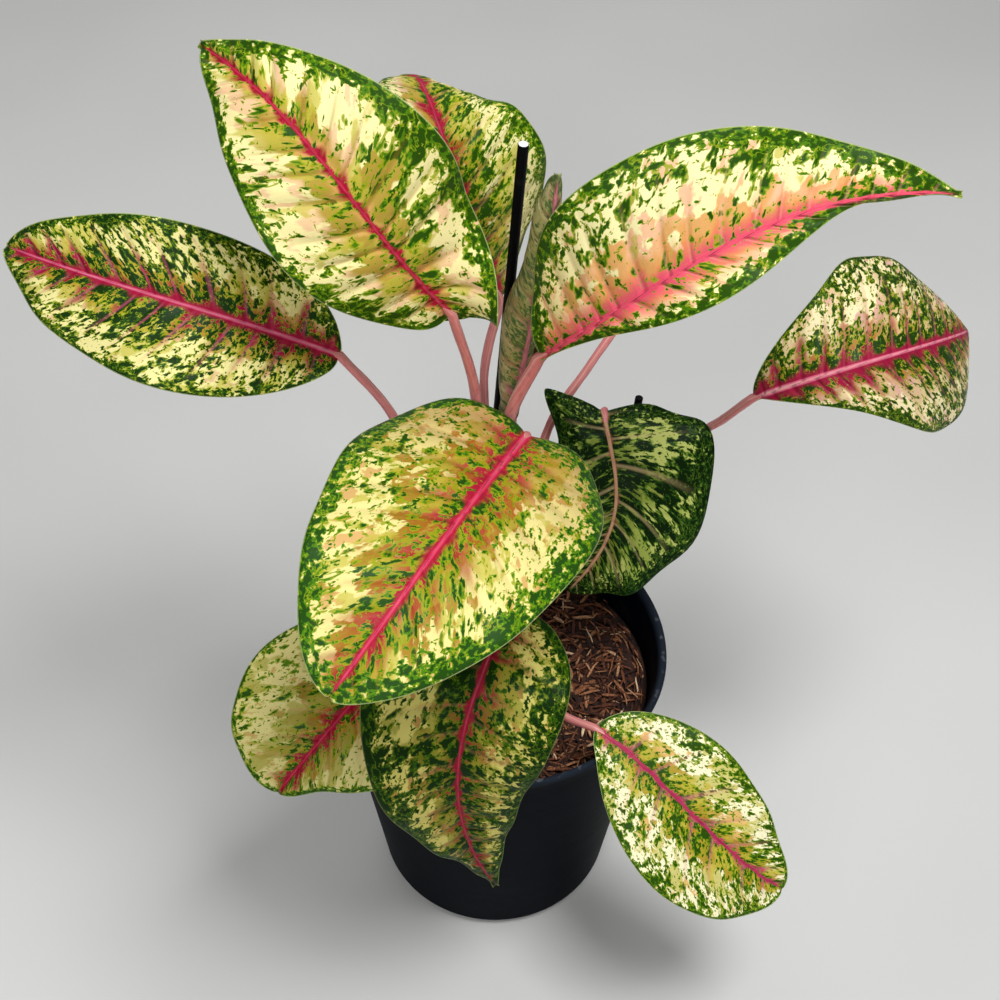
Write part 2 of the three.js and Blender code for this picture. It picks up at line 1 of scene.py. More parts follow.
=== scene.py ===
"""Looks of a potted aglaonema: twelve variegated leaves on a cane in a black nursery pot.

The sizes below are in millimetres and repeat those of the solids. What Blender gets is in metres.
"""

import logging
import math
from dataclasses import dataclass, field, replace
from enum import Enum

import bpy
import numpy as np
from mathutils import Matrix, Vector


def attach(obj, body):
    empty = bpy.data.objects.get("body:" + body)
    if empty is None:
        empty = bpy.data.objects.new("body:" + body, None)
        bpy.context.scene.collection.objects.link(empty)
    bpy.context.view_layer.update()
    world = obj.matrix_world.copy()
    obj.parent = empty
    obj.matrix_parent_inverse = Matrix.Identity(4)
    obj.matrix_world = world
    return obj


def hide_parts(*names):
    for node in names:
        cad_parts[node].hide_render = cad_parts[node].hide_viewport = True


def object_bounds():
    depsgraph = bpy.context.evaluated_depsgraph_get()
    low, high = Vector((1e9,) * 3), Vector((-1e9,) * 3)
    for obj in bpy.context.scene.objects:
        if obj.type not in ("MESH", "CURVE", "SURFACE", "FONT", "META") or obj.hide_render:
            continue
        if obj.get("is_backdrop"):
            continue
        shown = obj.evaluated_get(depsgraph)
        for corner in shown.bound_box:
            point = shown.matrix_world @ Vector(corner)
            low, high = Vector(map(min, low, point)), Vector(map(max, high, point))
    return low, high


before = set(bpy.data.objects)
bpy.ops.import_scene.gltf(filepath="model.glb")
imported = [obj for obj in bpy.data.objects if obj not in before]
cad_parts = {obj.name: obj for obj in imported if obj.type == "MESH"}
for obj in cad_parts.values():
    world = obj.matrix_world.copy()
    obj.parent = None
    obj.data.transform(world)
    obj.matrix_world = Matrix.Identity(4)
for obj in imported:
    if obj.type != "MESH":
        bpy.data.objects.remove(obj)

CAD_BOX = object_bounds()
MM = 0.001  # metres in a millimetre
BODY = "root"
LOG = logging.getLogger("aglaonema")
TURN = 2 * math.pi
# Node settings that many recipes share.
SOFT = {"interpolation_type": "SMOOTHSTEP"}
PLUS, TIMES = {"operation": "ADD"}, {"operation": "MULTIPLY"}

Row = tuple[float, ...]
Points = tuple[Row, ...]
Feed = bpy.types.NodeSocket | dict | float | tuple | str | None


class Slot(Enum):
    """The record's material slots."""

    POT = "nursery_pot"
    COMPOST = "compost"
    CANE = "cane"
    STAKE = "stake"
    PETIOLE = "petiole"
    LEAF = "leaf"
    # This slot holds a leaf whose colours are darkened as painted shade.
    LEAF_DARK = "leaf_dark"
    LEAF_ROLLED = "leaf_rolled"


class Channel(Enum):
    """The surface measures that a mesh carries for its material."""

    FLAT = "leaf_flat"  # along the leaf, across it, and in from the margin, in mm
    VEIN = "leaf_vein"  # place on the midrib, distance out from it in mm, and side veins passed
    RIB = "leaf_rib"  # distance from the midrib's middle, 1 at the edge of the midrib
    STALK = "stalk_place"  # along the stalk in mm, turns round it, and seed
    TONE = "husk_tone"  # 0 for the darkest chip, 1 for the palest


# ---------------------------------------------------------------- small tools


def linear(colour: str) -> tuple[float, float, float, float]:
    """Turns an sRGB hex colour to linear light.

    Args:
        colour: Six hex digits after a #.

    Returns:
        Red, green, blue and an alpha of 1.
    """
    shares = [int(colour[i : i + 2], 16) / 255 for i in (1, 3, 5)]
    bright = [s / 12.92 if s <= 0.04045 else ((s + 0.055) / 1.055) ** 2.4 for s in shares]
    return (*bright, 1.0)


def unit(vectors: np.ndarray) -> np.ndarray:
    """Scales vectors to a length of 1."""
    return vectors / np.maximum(np.linalg.norm(vectors, axis=-1, keepdims=True), 1e-12)


def smooth(low: float, high: float, value: np.ndarray) -> np.ndarray:
    """A smooth step from 0 at low to 1 at high, which may be the smaller of the two."""
    f = np.clip((value - low) / (high - low), 0, 1)
    return f * f * (3 - 2 * f)


def grid_quads(rows: int, columns: int, closed: bool = False) -> np.ndarray:
    """Quads of a grid of points.

    Args:
        rows: Lines of points.
        columns: Points in a line.
        closed: Whether each line runs round to its first point.

    Returns:
        Four indices a quad, turned from a line's points to the next line.
    """
    row, column = np.meshgrid(
        np.arange(rows - 1), np.arange(columns if closed else columns - 1), indexing="ij"
    )
    after = (column + 1) % columns
    corners = (row * columns + column, row * columns + after)
    quads = np.stack([*corners, corners[1] + columns, corners[0] + columns], -1)
    return quads.reshape(-1, 4)


def tube_faces(rings: int, sides: int) -> list:
    """Faces of a closed tube of rings, with a flat face at each end.

    Args:
        rings: How many rings of points.
        sides: Points in a ring.

    Returns:
        Lists of point indices, the two ends last.
    """
    last = (rings - 1) * sides
    ends = [list(range(sides))[::-1], [last + side for side in range(sides)]]
    return grid_quads(rings, sides, closed=True).tolist() + ends


def lumps(places: np.ndarray, size: float, seed: int) -> np.ndarray:
    """A smooth repeatable unevenness.

    Args:
        places: Points, in mm.
        size: The width of a lump, in mm.
        seed: Which unevenness.

    Returns:
        About -1 to 1 for each point.
    """
    random = np.random.default_rng(seed)
    total = np.zeros(places.shape[:-1])
    for _ in range(6):
        direction = unit(random.normal(size=3)) * TURN / size * random.uniform(0.6, 1.6)
        total += np.sin(places @ direction + random.uniform(0, TURN))
    return total / 3


def mesh_object(
    name: str,
    points: np.ndarray,
    faces: list,
    materials: list[bpy.types.Material],
    slot: Slot,
    nodes: tuple[str, ...],
) -> bpy.types.Object:
    """Makes a smooth piece that stands for CAD nodes, under a name of its own beside theirs.

    Args:
        name: What it is.
        points: Its points, in mm.
        faces: Lists of point indices, counted from outside against the clock.
        materials: Its materials in the order of their indices.
        slot: The record's slot for its finish. Not used.
        nodes: The CAD nodes it replaces.

    Returns:
        The piece, riding on the one body.
    """
    mesh = bpy.data.meshes.new(name)
    mesh.from_pydata((points * MM).tolist(), [], [list(map(int, f)) for f in faces])
    mesh.shade_smooth()
    for material in materials:
        mesh.materials.append(material)
    piece = bpy.data.objects.new(f"{name}_dressed", mesh)
    bpy.context.scene.collection.objects.link(piece)
    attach(piece, BODY)
    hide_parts(*nodes)
    LOG.info("%s: %d faces", name, len(mesh.polygons))
    return piece


def measure(piece: bpy.types.Object, channel: Channel, values: np.ndarray) -> None:
    """Writes one measure for each point of a piece.

    Args:
        piece: The piece.
        channel: Which measure.
        values: A number or three for each point.
    """
    wide = values.ndim == 2
    kind = "FLOAT_VECTOR" if wide else "FLOAT"
    data = piece.data.attributes.new(channel.value, kind, "POINT").data
    data.foreach_set("vector" if wide else "value", values.astype(np.float32).ravel())


# ---------------------------------------------------------------- materials


@dataclass(frozen=True)
class Coat:
    """A colour laid over those below it."""

    mask: Feed  # how much of it shows or, where it has an edge, a measure
    tint: Feed
    edge: Row = ()  # the measure at which it begins, and at which it is full
    most: float = 1.0  # how much of it shows where it is full


@dataclass
class Recipe:
    """The node tree of one material."""

    material: bpy.types.Material

    @classmethod
    def start(cls, name: str) -> "Recipe":
        """Starts an empty material of that name."""
        material = bpy.data.materials.new(name)
        material.use_nodes = True
        material.node_tree.nodes.clear()
        return cls(material)

    def add(self, kind: str, *feeds: Feed, **settings: object) -> bpy.types.NodeSocket:
        """Adds a node with its settings and links.

        Args:
            kind: The node's type, without the words that all types share.
            feeds: What goes into its sockets in order: a socket to link, a value, a colour as hex
                digits after a #, or None to leave one alone. A dict names its sockets itself.
            settings: The node's own properties.

        Returns:
            The first output that the node has in use, or None.
        """
        node = self.material.node_tree.nodes.new("ShaderNode" + kind)
        for key, value in settings.items():
            setattr(node, key, value)
        wanted: dict = {}
        for place, feed in enumerate(feeds):
            wanted.update(feed if isinstance(feed, dict) else {place: feed})
        for key, feed in wanted.items():
            if isinstance(feed, bpy.types.NodeSocket):
                self.material.node_tree.links.new(feed, node.inputs[key])
            elif feed is not None:
                value = linear(feed) if isinstance(feed, str) else feed
                node.inputs[key].default_value = value
        return next((output for output in node.outputs if output.enabled), None)

    def measured(self, channel: Channel) -> bpy.types.Node:
        """The node that reads a measure of the mesh."""
        return self.add("Attribute", attribute_name=channel.value).node

    def layered(self, ground: Feed, *coats: Coat) -> bpy.types.NodeSocket:
        """Lays coats over a ground colour.

        Args:
            ground: The lowest colour.
            coats: What lies over it, from the lowest.

        Returns:
            The colour on top.
        """
        for coat in coats:
            mask = coat.mask
            if coat.edge:
                mask = self.add("MapRange", mask, *coat.edge, 0.0, coat.most, **SOFT)
            ground = self.add("Mix", mask, {6: ground, 7: coat.tint}, data_type="RGBA")
        return ground

    def finished(self, skin: dict) -> bpy.types.Material:
        """Gives the material a surface with those inputs."""
        self.add("OutputMaterial", self.add("BsdfPrincipled", skin))
        return self.material


@dataclass(frozen=True)
class LeafSkin:
    """The living skin of an aglaonema leaf, with a thin waxy cuticle.

    The cells without chlorophyll show as a cream or blushed ground, the green ones as crisp flecks
    drawn out along the side veins, and the cuticle gives a soft, slightly broken gloss.
    """

    seed: float
    cream: str = "#F3E9A2"
    blush: str = "#E2B770"
    ochre: str = "#A88E22"
    wash: str = "#BDB540"
    lime: str = "#94A018"
    green: str = "#4C780A"
    deep: str = "#284A06"
    flush: str = "#B07824"
    halo: str = "#A01430"
    rib: str = "#BE1840"
    # The next colour is a highlight painted along the midrib's ridge.
    rib_highlight: str = "#E88D96"
    vein: str = "#CE9468"
    edge: str = "#C9D78E"
    blush_share: float = 0.0  # more blush on the ground
    ochre_share: float = 0.0  # more ochre in the zone by the midrib
    wash_share: float = 0.0  # more yellow-green on the ground
    flecks: float = 0.0  # more flecks all over
    flecks_by_rib: float = 0.06
    flecks_by_edge: float = 0.08
    fleck_size: float = 3.2  # mm across a large fleck
    drawn: float = 1.6  # how far the flecks are drawn out along the side veins
    lime_by_rib: float = 0.0  # more lime in the zone by the midrib
    band: tuple[float, float] = (2.0, 2.0)  # width of the green margin, left and right, in mm
    halo_reach: float = 12.0  # mm out from the midrib, along a side vein
    halo_over: float = 6.0  # mm that the halo covers even the flecks
    halo_edge: tuple[float, float] = (0.45, 1.15)  # where the halo fades, in shares of its reach
    halo_between: float = 0.42  # the share of its reach midway between two side veins
    halo_taper: float = 0.5  # the share of that reach which is left at the tip
    vein_share: float = 0.3
    rib_highlight_share: float = 0.15  # how strongly a highlight is painted along the midrib's ridge
    gloss: tuple[float, float] = (0.34, 0.5)
    shine: float = 0.1  # how much of a bare cuticle's shine the leaf keeps
    flush_at_base: float = 0.0  # how far the flush covers the ground by the stalk

    def dress(self, name: str, length: float) -> bpy.types.Material:
        """Makes the material of that name for a leaf of that length in mm."""
        return LeafPaint(self, name, length).finished()

    def underside(self) -> "LeafSkin":
        """The same leaf from below: the pattern shines through dull and grey-green."""
        return replace(
            self,
            cream="#B9B183",
            blush="#BE9A7E",
            ochre="#9A8752",
            wash="#A09C62",
            lime="#8B9152",
            green="#66753F",
            deep="#4C6138",
            flush="#A57F5C",
            halo="#A9596A",
            rib="#BE6F78",
            rib_highlight="#D3A79B",
            vein="#B99479",
            edge="#A9AE77",
            gloss=(0.5, 0.68),
        )


class LeafPaint:
    """Works out a leaf's finish from the measures of its blade.

    The ground and the flecks are drawn out along the side veins, because the cells grow in files
    along them. Where a noise passes one of the edges below it shows a coat, which begins at the
    edge's first value and is full at its second.
    """

    TAN_EDGE, CREAM_EDGE, WASH_EDGE = (0.46, 0.62), (0.47, 0.53), (0.49, 0.56)
    GREEN_EDGE = (0.57, 0.59)
    LARGE_LIME, LARGE_DEEP = (0.53, 0.55), (0.615, 0.64)
    SMALL_LIME, SMALL_DEEP = (0.545, 0.565), (0.6, 0.625)
    RIM_LIME, RIM_GREEN, RIM_DEEP = (0.5, 0.52), (0.53, 0.55), (0.6, 0.64)
    BROAD, PATCH, WASH_PATCH, WANDER, CELL = 13, 6, 8, 7, 0.6  # mm across
    SMALL_FLECKS, RIM_FLECKS = 1.9, 1.5  # times finer than the large ones
    NOISE = (0.3, 0.7)  # where nearly all of a noise lies
    TORN = (0.45, 1.45)  # the halo's least and greatest share of its reach
    FLUSH_EDGE, GLOW_EDGE, OVER_EDGE = (0.6, 2.4), (0.5, 1.6), (0.3, 1.1)  # in shares of it
    FLUSH_MOST, GLOW_MOST = 0.8, 0.4
    NEAR_STALK = 0.3  # the share of the length that is redder and has a stronger painted highlight on its midrib
    GREEN_TIP = (0.93, 0.985)  # shares of the length between which the red ends

    def __init__(self, skin: LeafSkin, name: str, length: float) -> None:
        """Starts the material and reads the blade's measures.

        Args:
            skin: The finish.
            name: The material's name.
            length: The leaf's length, in mm.
        """
        self.skin, self.length = skin, length
        self.recipe = recipe = Recipe.start(name)
        self.add = add = recipe.add
        self.flat = recipe.measured(Channel.FLAT).outputs["Vector"]
        _, self.across, self.edge = add("SeparateXYZ", self.flat).node.outputs
        vein = add("SeparateXYZ", recipe.measured(Channel.VEIN).outputs["Vector"])
        self.place, self.out, passed = vein.node.outputs
        self.ribs = recipe.measured(Channel.RIB).outputs["Fac"]
        # 0 at the midrib and 1 at the margin.
        whole = add("Math", self.out, self.edge, **PLUS)
        self.zone = add("Math", self.out, whole, operation="DIVIDE")
        # 0 on a side vein and 1 midway between two.
        half = add("Math", passed, 0.5, operation="PINGPONG")
        self.apart = add("Math", half, 2.0, **TIMES)
        drawn = add("Math", self.across, skin.drawn, operation="DIVIDE")
        self.grain = add("CombineXYZ", self.place, drawn, skin.seed * 37)
        self.patch = {"Vector": self.grain, "Detail": 3.0, "Roughness": 0.55, "Distortion": 0.2}
        self.broad = add("TexNoise", self.patch, {"Scale": 1 / self.BROAD})
        self.patches = add("TexNoise", self.patch, {"Scale": 1 / self.PATCH})
        wander = {"Vector": self.flat, "Scale": 1 / self.WANDER, "Detail": 4.0}
        self.wander = add("TexNoise", wander)
        ends = (share * length for share in self.GREEN_TIP)
        self.ended = add("MapRange", self.place, *ends, 1.0, 0.02)
        self.large, self.small = self.crowded_flecks()

    def leaning(self, noise: Feed, reach: Row, change: Row) -> bpy.types.NodeSocket:
        """A noise that is raised or lowered with the way from the midrib to the margin.

        Args:
            noise: The noise.
            reach: The zones between which the change runs.
            change: What is added at each of them.

        Returns:
            The changed noise.
        """
        return self.add("Math", noise, self.add("MapRange", self.zone, *reach, *change), **PLUS)

    def fleck_noise(self, finer: float, **changes: Feed) -> bpy.types.NodeSocket:
        """The noise of one size of flecks.

        Args:
            finer: How many times finer they are than the large ones.
            changes: Inputs that differ from the other flecks'.

        Returns:
            The noise.
        """
        fleck = {"Vector": self.grain, "Detail": 2.5, "Roughness": 0.56, "Distortion": 0.25}
        return self.add("TexNoise", fleck, {"Scale": finer / self.skin.fleck_size}, changes)

    def crowded_flecks(self) -> list[bpy.types.NodeSocket]:
        """Large and small flecks, more by the midrib and by the margin than halfway."""
        skin, add = self.skin, self.add
        inner = add("MapRange", self.zone, 0.08, 0.5, skin.flecks_by_rib, 0.0)
        crowd = self.leaning(inner, (0.5, 0.95), (0.0, skin.flecks_by_edge))
        spread = (skin.flecks - 0.12, skin.flecks + 0.04)
        crowd = add("Math", crowd, add("MapRange", self.broad, *self.NOISE, *spread), **PLUS)
        sizes = (1.0, self.SMALL_FLECKS)
        return [add("Math", self.fleck_noise(finer), crowd, **PLUS) for finer in sizes]

    def rim_flecks(self) -> bpy.types.NodeSocket:
        """Flecks that run together to a band on the margin, which wanders and has two widths."""
        add = self.add
        right = add("Math", self.across, 0.0, operation="GREATER_THAN")
        width = add("MapRange", right, 0.0, 1.0, *self.skin.band)
        spare = add("MapRange", self.wander, *self.NOISE, 0.4, 1.6)
        limit = add("Math", width, spare, **TIMES)
        inward = add("Math", self.edge, limit, operation="DIVIDE")
        band = add("MapRange", inward, 0.3, 1.7, 0.13, -0.12, **SOFT)
        return add("Math", self.fleck_noise(self.RIM_FLECKS, Vector=self.flat), band, **PLUS)

    def halo(self) -> tuple[bpy.types.NodeSocket, ...]:
        """The halo, which runs out along the side veins with torn edges and shrinks to the tip.

        Returns:
            Masks of the halo, of the flush round it on the ground, of the flush over the lime
            flecks, and of the part of the halo that covers all flecks.
        """
        skin, add = self.skin, self.add
        near = add("MapRange", self.apart, 0.0, 0.75, 1.0, 0.0, **SOFT)
        reach = skin.halo_reach
        reach = add("MapRange", near, 0.0, 1.0, skin.halo_between * reach, reach)
        torn = add("MapRange", self.patches, *self.NOISE, *self.TORN)
        taper = add("MapRange", self.place, 0.0, self.length, 1.0, skin.halo_taper)
        for share in (torn, taper, self.ended):
            reach = add("Math", reach, share, **TIMES)
        ratio = add("Math", self.out, reach, operation="DIVIDE")
        halo = add("MapRange", ratio, *skin.halo_edge, 1.0, 0.0, **SOFT)
        flush = add("MapRange", ratio, *self.FLUSH_EDGE, self.FLUSH_MOST, 0.0, **SOFT)
        glow = add("MapRange", ratio, *self.GLOW_EDGE, self.GLOW_MOST, 0.0, **SOFT)
        base = self.NEAR_STALK * self.length
        by_base = add("MapRange", self.place, 0.0, base, skin.flush_at_base, 0.0)
        glow = add("Math", glow, by_base, operation="MAXIMUM")
        bare = add("Math", 1.0, halo, operation="SUBTRACT")
        glow = add("Math", glow, bare, **TIMES)
        over = add("Math", ratio, skin.halo_reach / skin.halo_over, **TIMES)
        over = add("MapRange", over, *self.OVER_EDGE, 1.0, 0.0, **SOFT)
        return halo, flush, glow, over

    def blade_colour(self) -> bpy.types.NodeSocket:
        """The blade's colour: ground, halo, flecks and side veins."""
        skin, add = self.skin, self.add
        halo, flush, glow, over = self.halo()
        large, small, rim = self.large, self.small, self.rim_flecks()
        limed = self.leaning(large, (0.1, 0.6), (skin.lime_by_rib, 0.0))
        blush, ochre, wash = skin.blush_share, skin.ochre_share, skin.wash_share
        creamy = self.leaning(self.patches, (0.1, 0.6), (-0.16 - blush, 0.12 - blush))
        tanned = self.leaning(self.broad, (0.1, 0.75), (0.22 + ochre, ochre - 0.12))
        beside = add("VectorMath", self.grain, (91.0, 17.0, 5.0), **PLUS)
        washed = add("TexNoise", self.patch, {"Vector": beside, "Scale": 1 / self.WASH_PATCH})
        washed = self.leaning(washed, (0.15, 0.65), (0.06 + wash, wash - 0.04))
        veined = add("MapRange", self.apart, 0.02, 0.17, 1.0, 0.0, **SOFT)
        fade = add("MapRange", self.zone, 0.25, 0.85, skin.vein_share, 0.0)
        return self.recipe.layered(
            skin.blush,
            Coat(tanned, skin.ochre, self.TAN_EDGE, 0.9),
            Coat(flush, skin.flush),
            Coat(creamy, skin.cream, self.CREAM_EDGE, 0.95),
            Coat(washed, skin.wash, self.WASH_EDGE, 0.75),
            Coat(halo, skin.halo),
            Coat(limed, skin.lime, self.LARGE_LIME, 0.9),
            Coat(small, skin.lime, self.SMALL_LIME, 0.9),
            Coat(glow, skin.flush),
            Coat(large, skin.green, self.GREEN_EDGE),
            Coat(small, skin.green, self.GREEN_EDGE),
            Coat(large, skin.deep, self.LARGE_DEEP),
            Coat(small, skin.deep, self.SMALL_DEEP),
            Coat(rim, skin.lime, self.RIM_LIME),
            Coat(rim, skin.green, self.RIM_GREEN),
            Coat(rim, skin.deep, self.RIM_DEEP),
            Coat(add("Math", veined, fade, **TIMES), skin.vein),
            Coat(over, skin.halo),
        )

    def with_midrib(self, colour: bpy.types.NodeSocket) -> bpy.types.NodeSocket:
        """Lays the pale rim and the midrib over the blade's colour.

        Args:
            colour: The blade's colour.

        Returns:
            The leaf's colour.
        """
        skin, add = self.skin, self.add
        # A highlight is painted along the top of the midrib's ridge, stronger where it leaves the
        # stalk.
        core = add("MapRange", self.ribs, 0.1, 0.8, skin.rib_highlight_share, 0.0, **SOFT)
        start = add("MapRange", self.place, 0.0, self.NEAR_STALK * self.length, 1.8, 1.0)
        streak = add("TexNoise", {"Vector": self.flat, "Scale": 0.09, "Detail": 3.0})
        for share in (start, streak):
            core = add("Math", core, share, **TIMES)
        core = add("Math", core, 1.6, use_clamp=True, **TIMES)
        rib = self.recipe.layered(skin.rib, Coat(core, skin.rib_highlight))
        rim = add("MapRange", self.edge, 0.1, 0.5, 0.6, 0.0, **SOFT)
        on_rib = add("MapRange", self.ribs, 0.8, 1.1, 1.0, 0.0, **SOFT)
        on_rib = add("Math", on_rib, self.ended, **TIMES)
        return self.recipe.layered(colour, Coat(rim, skin.edge), Coat(on_rib, rib))

    def relief(self) -> bpy.types.NodeSocket:
        """Cells that break the cuticle's shine, and side veins sunk between swollen strips."""
        add = self.add
        cells = add("TexVoronoi", {"Vector": self.flat, "Scale": 1 / self.CELL})
        bumps = add("Math", cells, self.small, **PLUS)
        relief = add("Bump", {"Strength": 0.25, "Distance": 0.00025, "Height": bumps})
        strips = add("MapRange", self.apart, 0.0, 0.4, 0.0, 1.0, **SOFT)
        sunk = add("MapRange", self.zone, 0.1, 0.95, 1.0, 0.1)
        strips = add("Math", strips, sunk, **TIMES)
        return add("Bump", {"Distance": 0.0006, "Height": strips, "Normal": relief})

    def finished(self) -> bpy.types.Material:
        """The material, with a soft waxy gloss."""
        skin = {
            "Base Color": self.with_midrib(self.blade_colour()),
            "Roughness": self.add("MapRange", self.wander, *self.NOISE, *self.skin.gloss),
            "Normal": self.relief(),
            "IOR": 1.45,
            "Specular IOR Level": self.skin.shine,
            "Coat Weight": 0.02,
            "Coat Roughness": 0.3,
        }
        return self.recipe.finished(skin)


@dataclass(frozen=True)
class StalkSkin:
    """The smooth skin of a fleshy leaf stalk: dusty pink, streaked, with a dull wet shine."""

    pink: str = "#CC7674"
    pale: str = "#E8B0A6"
    dark: str = "#9E4653"
    sheath: str = "#B9A27A"

    def dress(self, name: str) -> bpy.types.Material:
        """Makes the material of that name."""
        recipe = Recipe.start(name)
        add = recipe.add
        place = recipe.measured(Channel.STALK).outputs["Vector"]
        along = add("SeparateXYZ", place)
        turns = along.node.outputs["Y"]
        # Fibres 0.7 mm wide and 30 mm long.
        around = add("Math", turns, 15.0, **TIMES)
        stretched = add("Math", along, 0.035, **TIMES)
        fibre_place = add("CombineXYZ", stretched, around, along.node.outputs["Z"])
        fibres = add("TexNoise", {"Vector": fibre_place, "Scale": 1.0, "Detail": 3.0})
        mottle_place = add("VectorMath", place, (0.25, 7.0, 1.0), **TIMES)
        mottle = add("TexNoise", {"Vector": mottle_place, "Scale": 1.0, "Detail": 4.0})
        groove = add("Math", turns, 0.5, operation="PINGPONG")
        colour = recipe.layered(
            self.pink,
            Coat(fibres, self.pale, (0.4, 0.7), 0.3),
            Coat(mottle, self.dark, (0.45, 0.7), 0.35),
            Coat(groove, self.pale, (0.09, 0.02), 0.55),
            Coat(along, self.sheath, (55.0, 12.0), 0.75),
        )
        relief = add("Bump", {"Strength": 0.15, "Distance": 0.0002, "Height": fibres})
        rough = add("MapRange", mottle, 0.3, 0.7, 0.3, 0.46)
        skin = {"Base Color": colour, "Roughness": rough, "Normal": relief, "IOR": 1.42}
        return recipe.finished(skin)


@dataclass(frozen=True)
class MouldedPolypropylene:
    """Black polypropylene from a mould: a dull semi-gloss skin with dust and pale rubbed spots,
    and a highlight painted just under a rim's top edge.
    """

    black: str = "#03070F"
    dust: str = "#6E6A62"
    # The pale colour of rubbed scuffs, which is also painted along the lip as a highlight.
    rub_and_highlight: str = "#8D9096"
    highlight_tint: str = "#39424F"  # a highlight painted on a band just under the rim's top edge
    roughness: tuple[float, float] = (0.53, 0.57)
    dusty: float = 0.05
    highlight_from: float = 1.0  # height in metres of the top edge, just under which a highlight is painted

    def dress(self, name: str) -> bpy.types.Material:
        """Makes the material of that name."""
        recipe = Recipe.start(name)
        add = recipe.add
        place = add("TexCoord").node.outputs["Object"]
        height = add("SeparateXYZ", place).node.outputs["Z"]
        # Smears 25 mm long that run round the wall, and specks of 1.5 mm.
        smear_place = add("VectorMath", place, (40.0, 40.0, 130.0), **TIMES)
        smears = add("TexNoise", {"Vector": smear_place, "Scale": 1.0, "Detail": 5.0})
        specks = add("TexNoise", {"Vector": place, "Scale": 650.0, "Detail": 2.0})
        scuffs = add("TexNoise", {"Vector": place, "Scale": 210.0, "Detail": 4.0})
        # Just under the top edge a highlight is painted: the scuffs are raised on the lip, and a
        # band below it is lightened.
        high = self.highlight_from
        lip = add("MapRange", height, high - 0.0012, high, 0.0, 0.22)
        wear_and_highlight = add("Math", scuffs, lip, **PLUS)
        highlight_band = add("MapRange", height, high - 0.0035, high - 0.001, 0.0, 0.3)
        colour = recipe.layered(
            self.black,
            Coat(smears, self.dust, (0.6, 0.8), self.dusty),
            Coat(specks, self.dust, (0.7, 0.76), self.dusty),
            Coat(highlight_band, self.highlight_tint),
            Coat(wear_and_highlight, self.rub_and_highlight, (0.74, 0.9), 0.25),
        )
        # The mould's grain, about 0.5 mm.
        grain = add("TexNoise", {"Vector": place, "Scale": 2000.0, "Detail": 2.0})
        relief = add("Bump", {"Strength": 0.2, "Distance": 0.0002, "Height": grain})
        rough = add("MapRange", smears, 0.3, 0.7, *self.roughness)
        skin = {
            "Base Color": colour,
            "Roughness": rough,
            "Normal": relief,
            "IOR": 1.49,
            "Specular IOR Level": 0.03,
        }
        return recipe.finished(skin)


@dataclass(frozen=True)
class CoirHusk:
    """Shredded coir and husk: dry dull fibre, tan on the chips on top, with shade painted nearly
    black on the bed between them.
    """

    tones: tuple[str, ...] = ("#1A0B06", "#43200F", "#7C4728", "#B5825A", "#E6CAA6")

    def dress(self, name: str) -> bpy.types.Material:
        """Makes the material of that name."""
        recipe = Recipe.start(name)
        add = recipe.add
        place = add("TexCoord").node.outputs["Object"]
        tone = recipe.measured(Channel.TONE).outputs["Fac"]
        # Fibres of 0.7 mm.
        fibres = add("TexNoise", {"Vector": place, "Scale": 1400.0, "Detail": 4.0})
        shift = add("MapRange", fibres, 0.3, 0.7, -0.14, 0.14)
        mixed = add("Math", tone, shift, use_clamp=True, **PLUS)
        ground, *paler = self.tones
        steps = len(paler)
        colour = recipe.layered(
            ground,
            *(
                Coat(add("MapRange", mixed, i / steps, (i + 1) / steps, 0.0, 1.0), tint)
                for i, tint in enumerate(paler)
            ),
        )
        relief = add("Bump", {"Strength": 0.7, "Distance": 0.0004, "Height": fibres})
        skin = {"Base Color": colour, "Roughness": 0.9, "Normal": relief, "IOR": 1.5}
        return recipe.finished(skin)


@dataclass(frozen=True)
class CaneBark:
    """The green bark of a young cane, with corky brown rings where leaves were shed."""

    green: str = "#7C8A4A"
    pale: str = "#B3AE7C"
    scar: str = "#6A4A30"
    scar_step: float = 0.014
    first_scar: float = 0.1

    def dress(self, name: str) -> bpy.types.Material:
        """Makes the material of that name."""
        recipe = Recipe.start(name)
        add = recipe.add
        place = add("TexCoord").node.outputs["Object"]
        height = add("SeparateXYZ", place).node.outputs["Z"]
        patches = add("TexNoise", {"Vector": place, "Scale": 260.0, "Detail": 4.0})
        raised = add("Math", height, self.first_scar, operation="SUBTRACT")
        ring = add("Math", raised, self.scar_step / 2, operation="PINGPONG")
        colour = recipe.layered(
            self.green,
            Coat(patches, self.pale, (0.4, 0.65), 0.8),
            Coat(ring, self.scar, (0.0014, 0.0002), 0.85),
        )
        relief = add("Bump", {"Strength": 0.4, "Distance": 0.0004, "Height": patches})
        skin = {"Base Color": colour, "Roughness": 0.55, "Normal": relief, "IOR": 1.45}
        return recipe.finished(skin)


@dataclass(frozen=True)
class MattPaint:
    """Matt white paint rolled on a board: an even pale ground with no shine."""

    white: str = "#DADAD8"
    shade: str = "#D2D2D0"

    def dress(self, name: str) -> bpy.types.Material:
        """Makes the material of that name."""
        recipe = Recipe.start(name)
        add = recipe.add
        place = add("TexCoord").node.outputs["Object"]
        clouds = add("TexNoise", {"Vector": place, "Scale": 3.0, "Detail": 2.0})
        mask = add("MapRange", clouds, 0.35, 0.65, 0.0, 1.0)
        colour = recipe.layered(self.white, Coat(mask, self.shade))
        return recipe.finished({"Base Color": colour, "Roughness": 0.85})


# ---------------------------------------------------------------- the pot and what stands in it


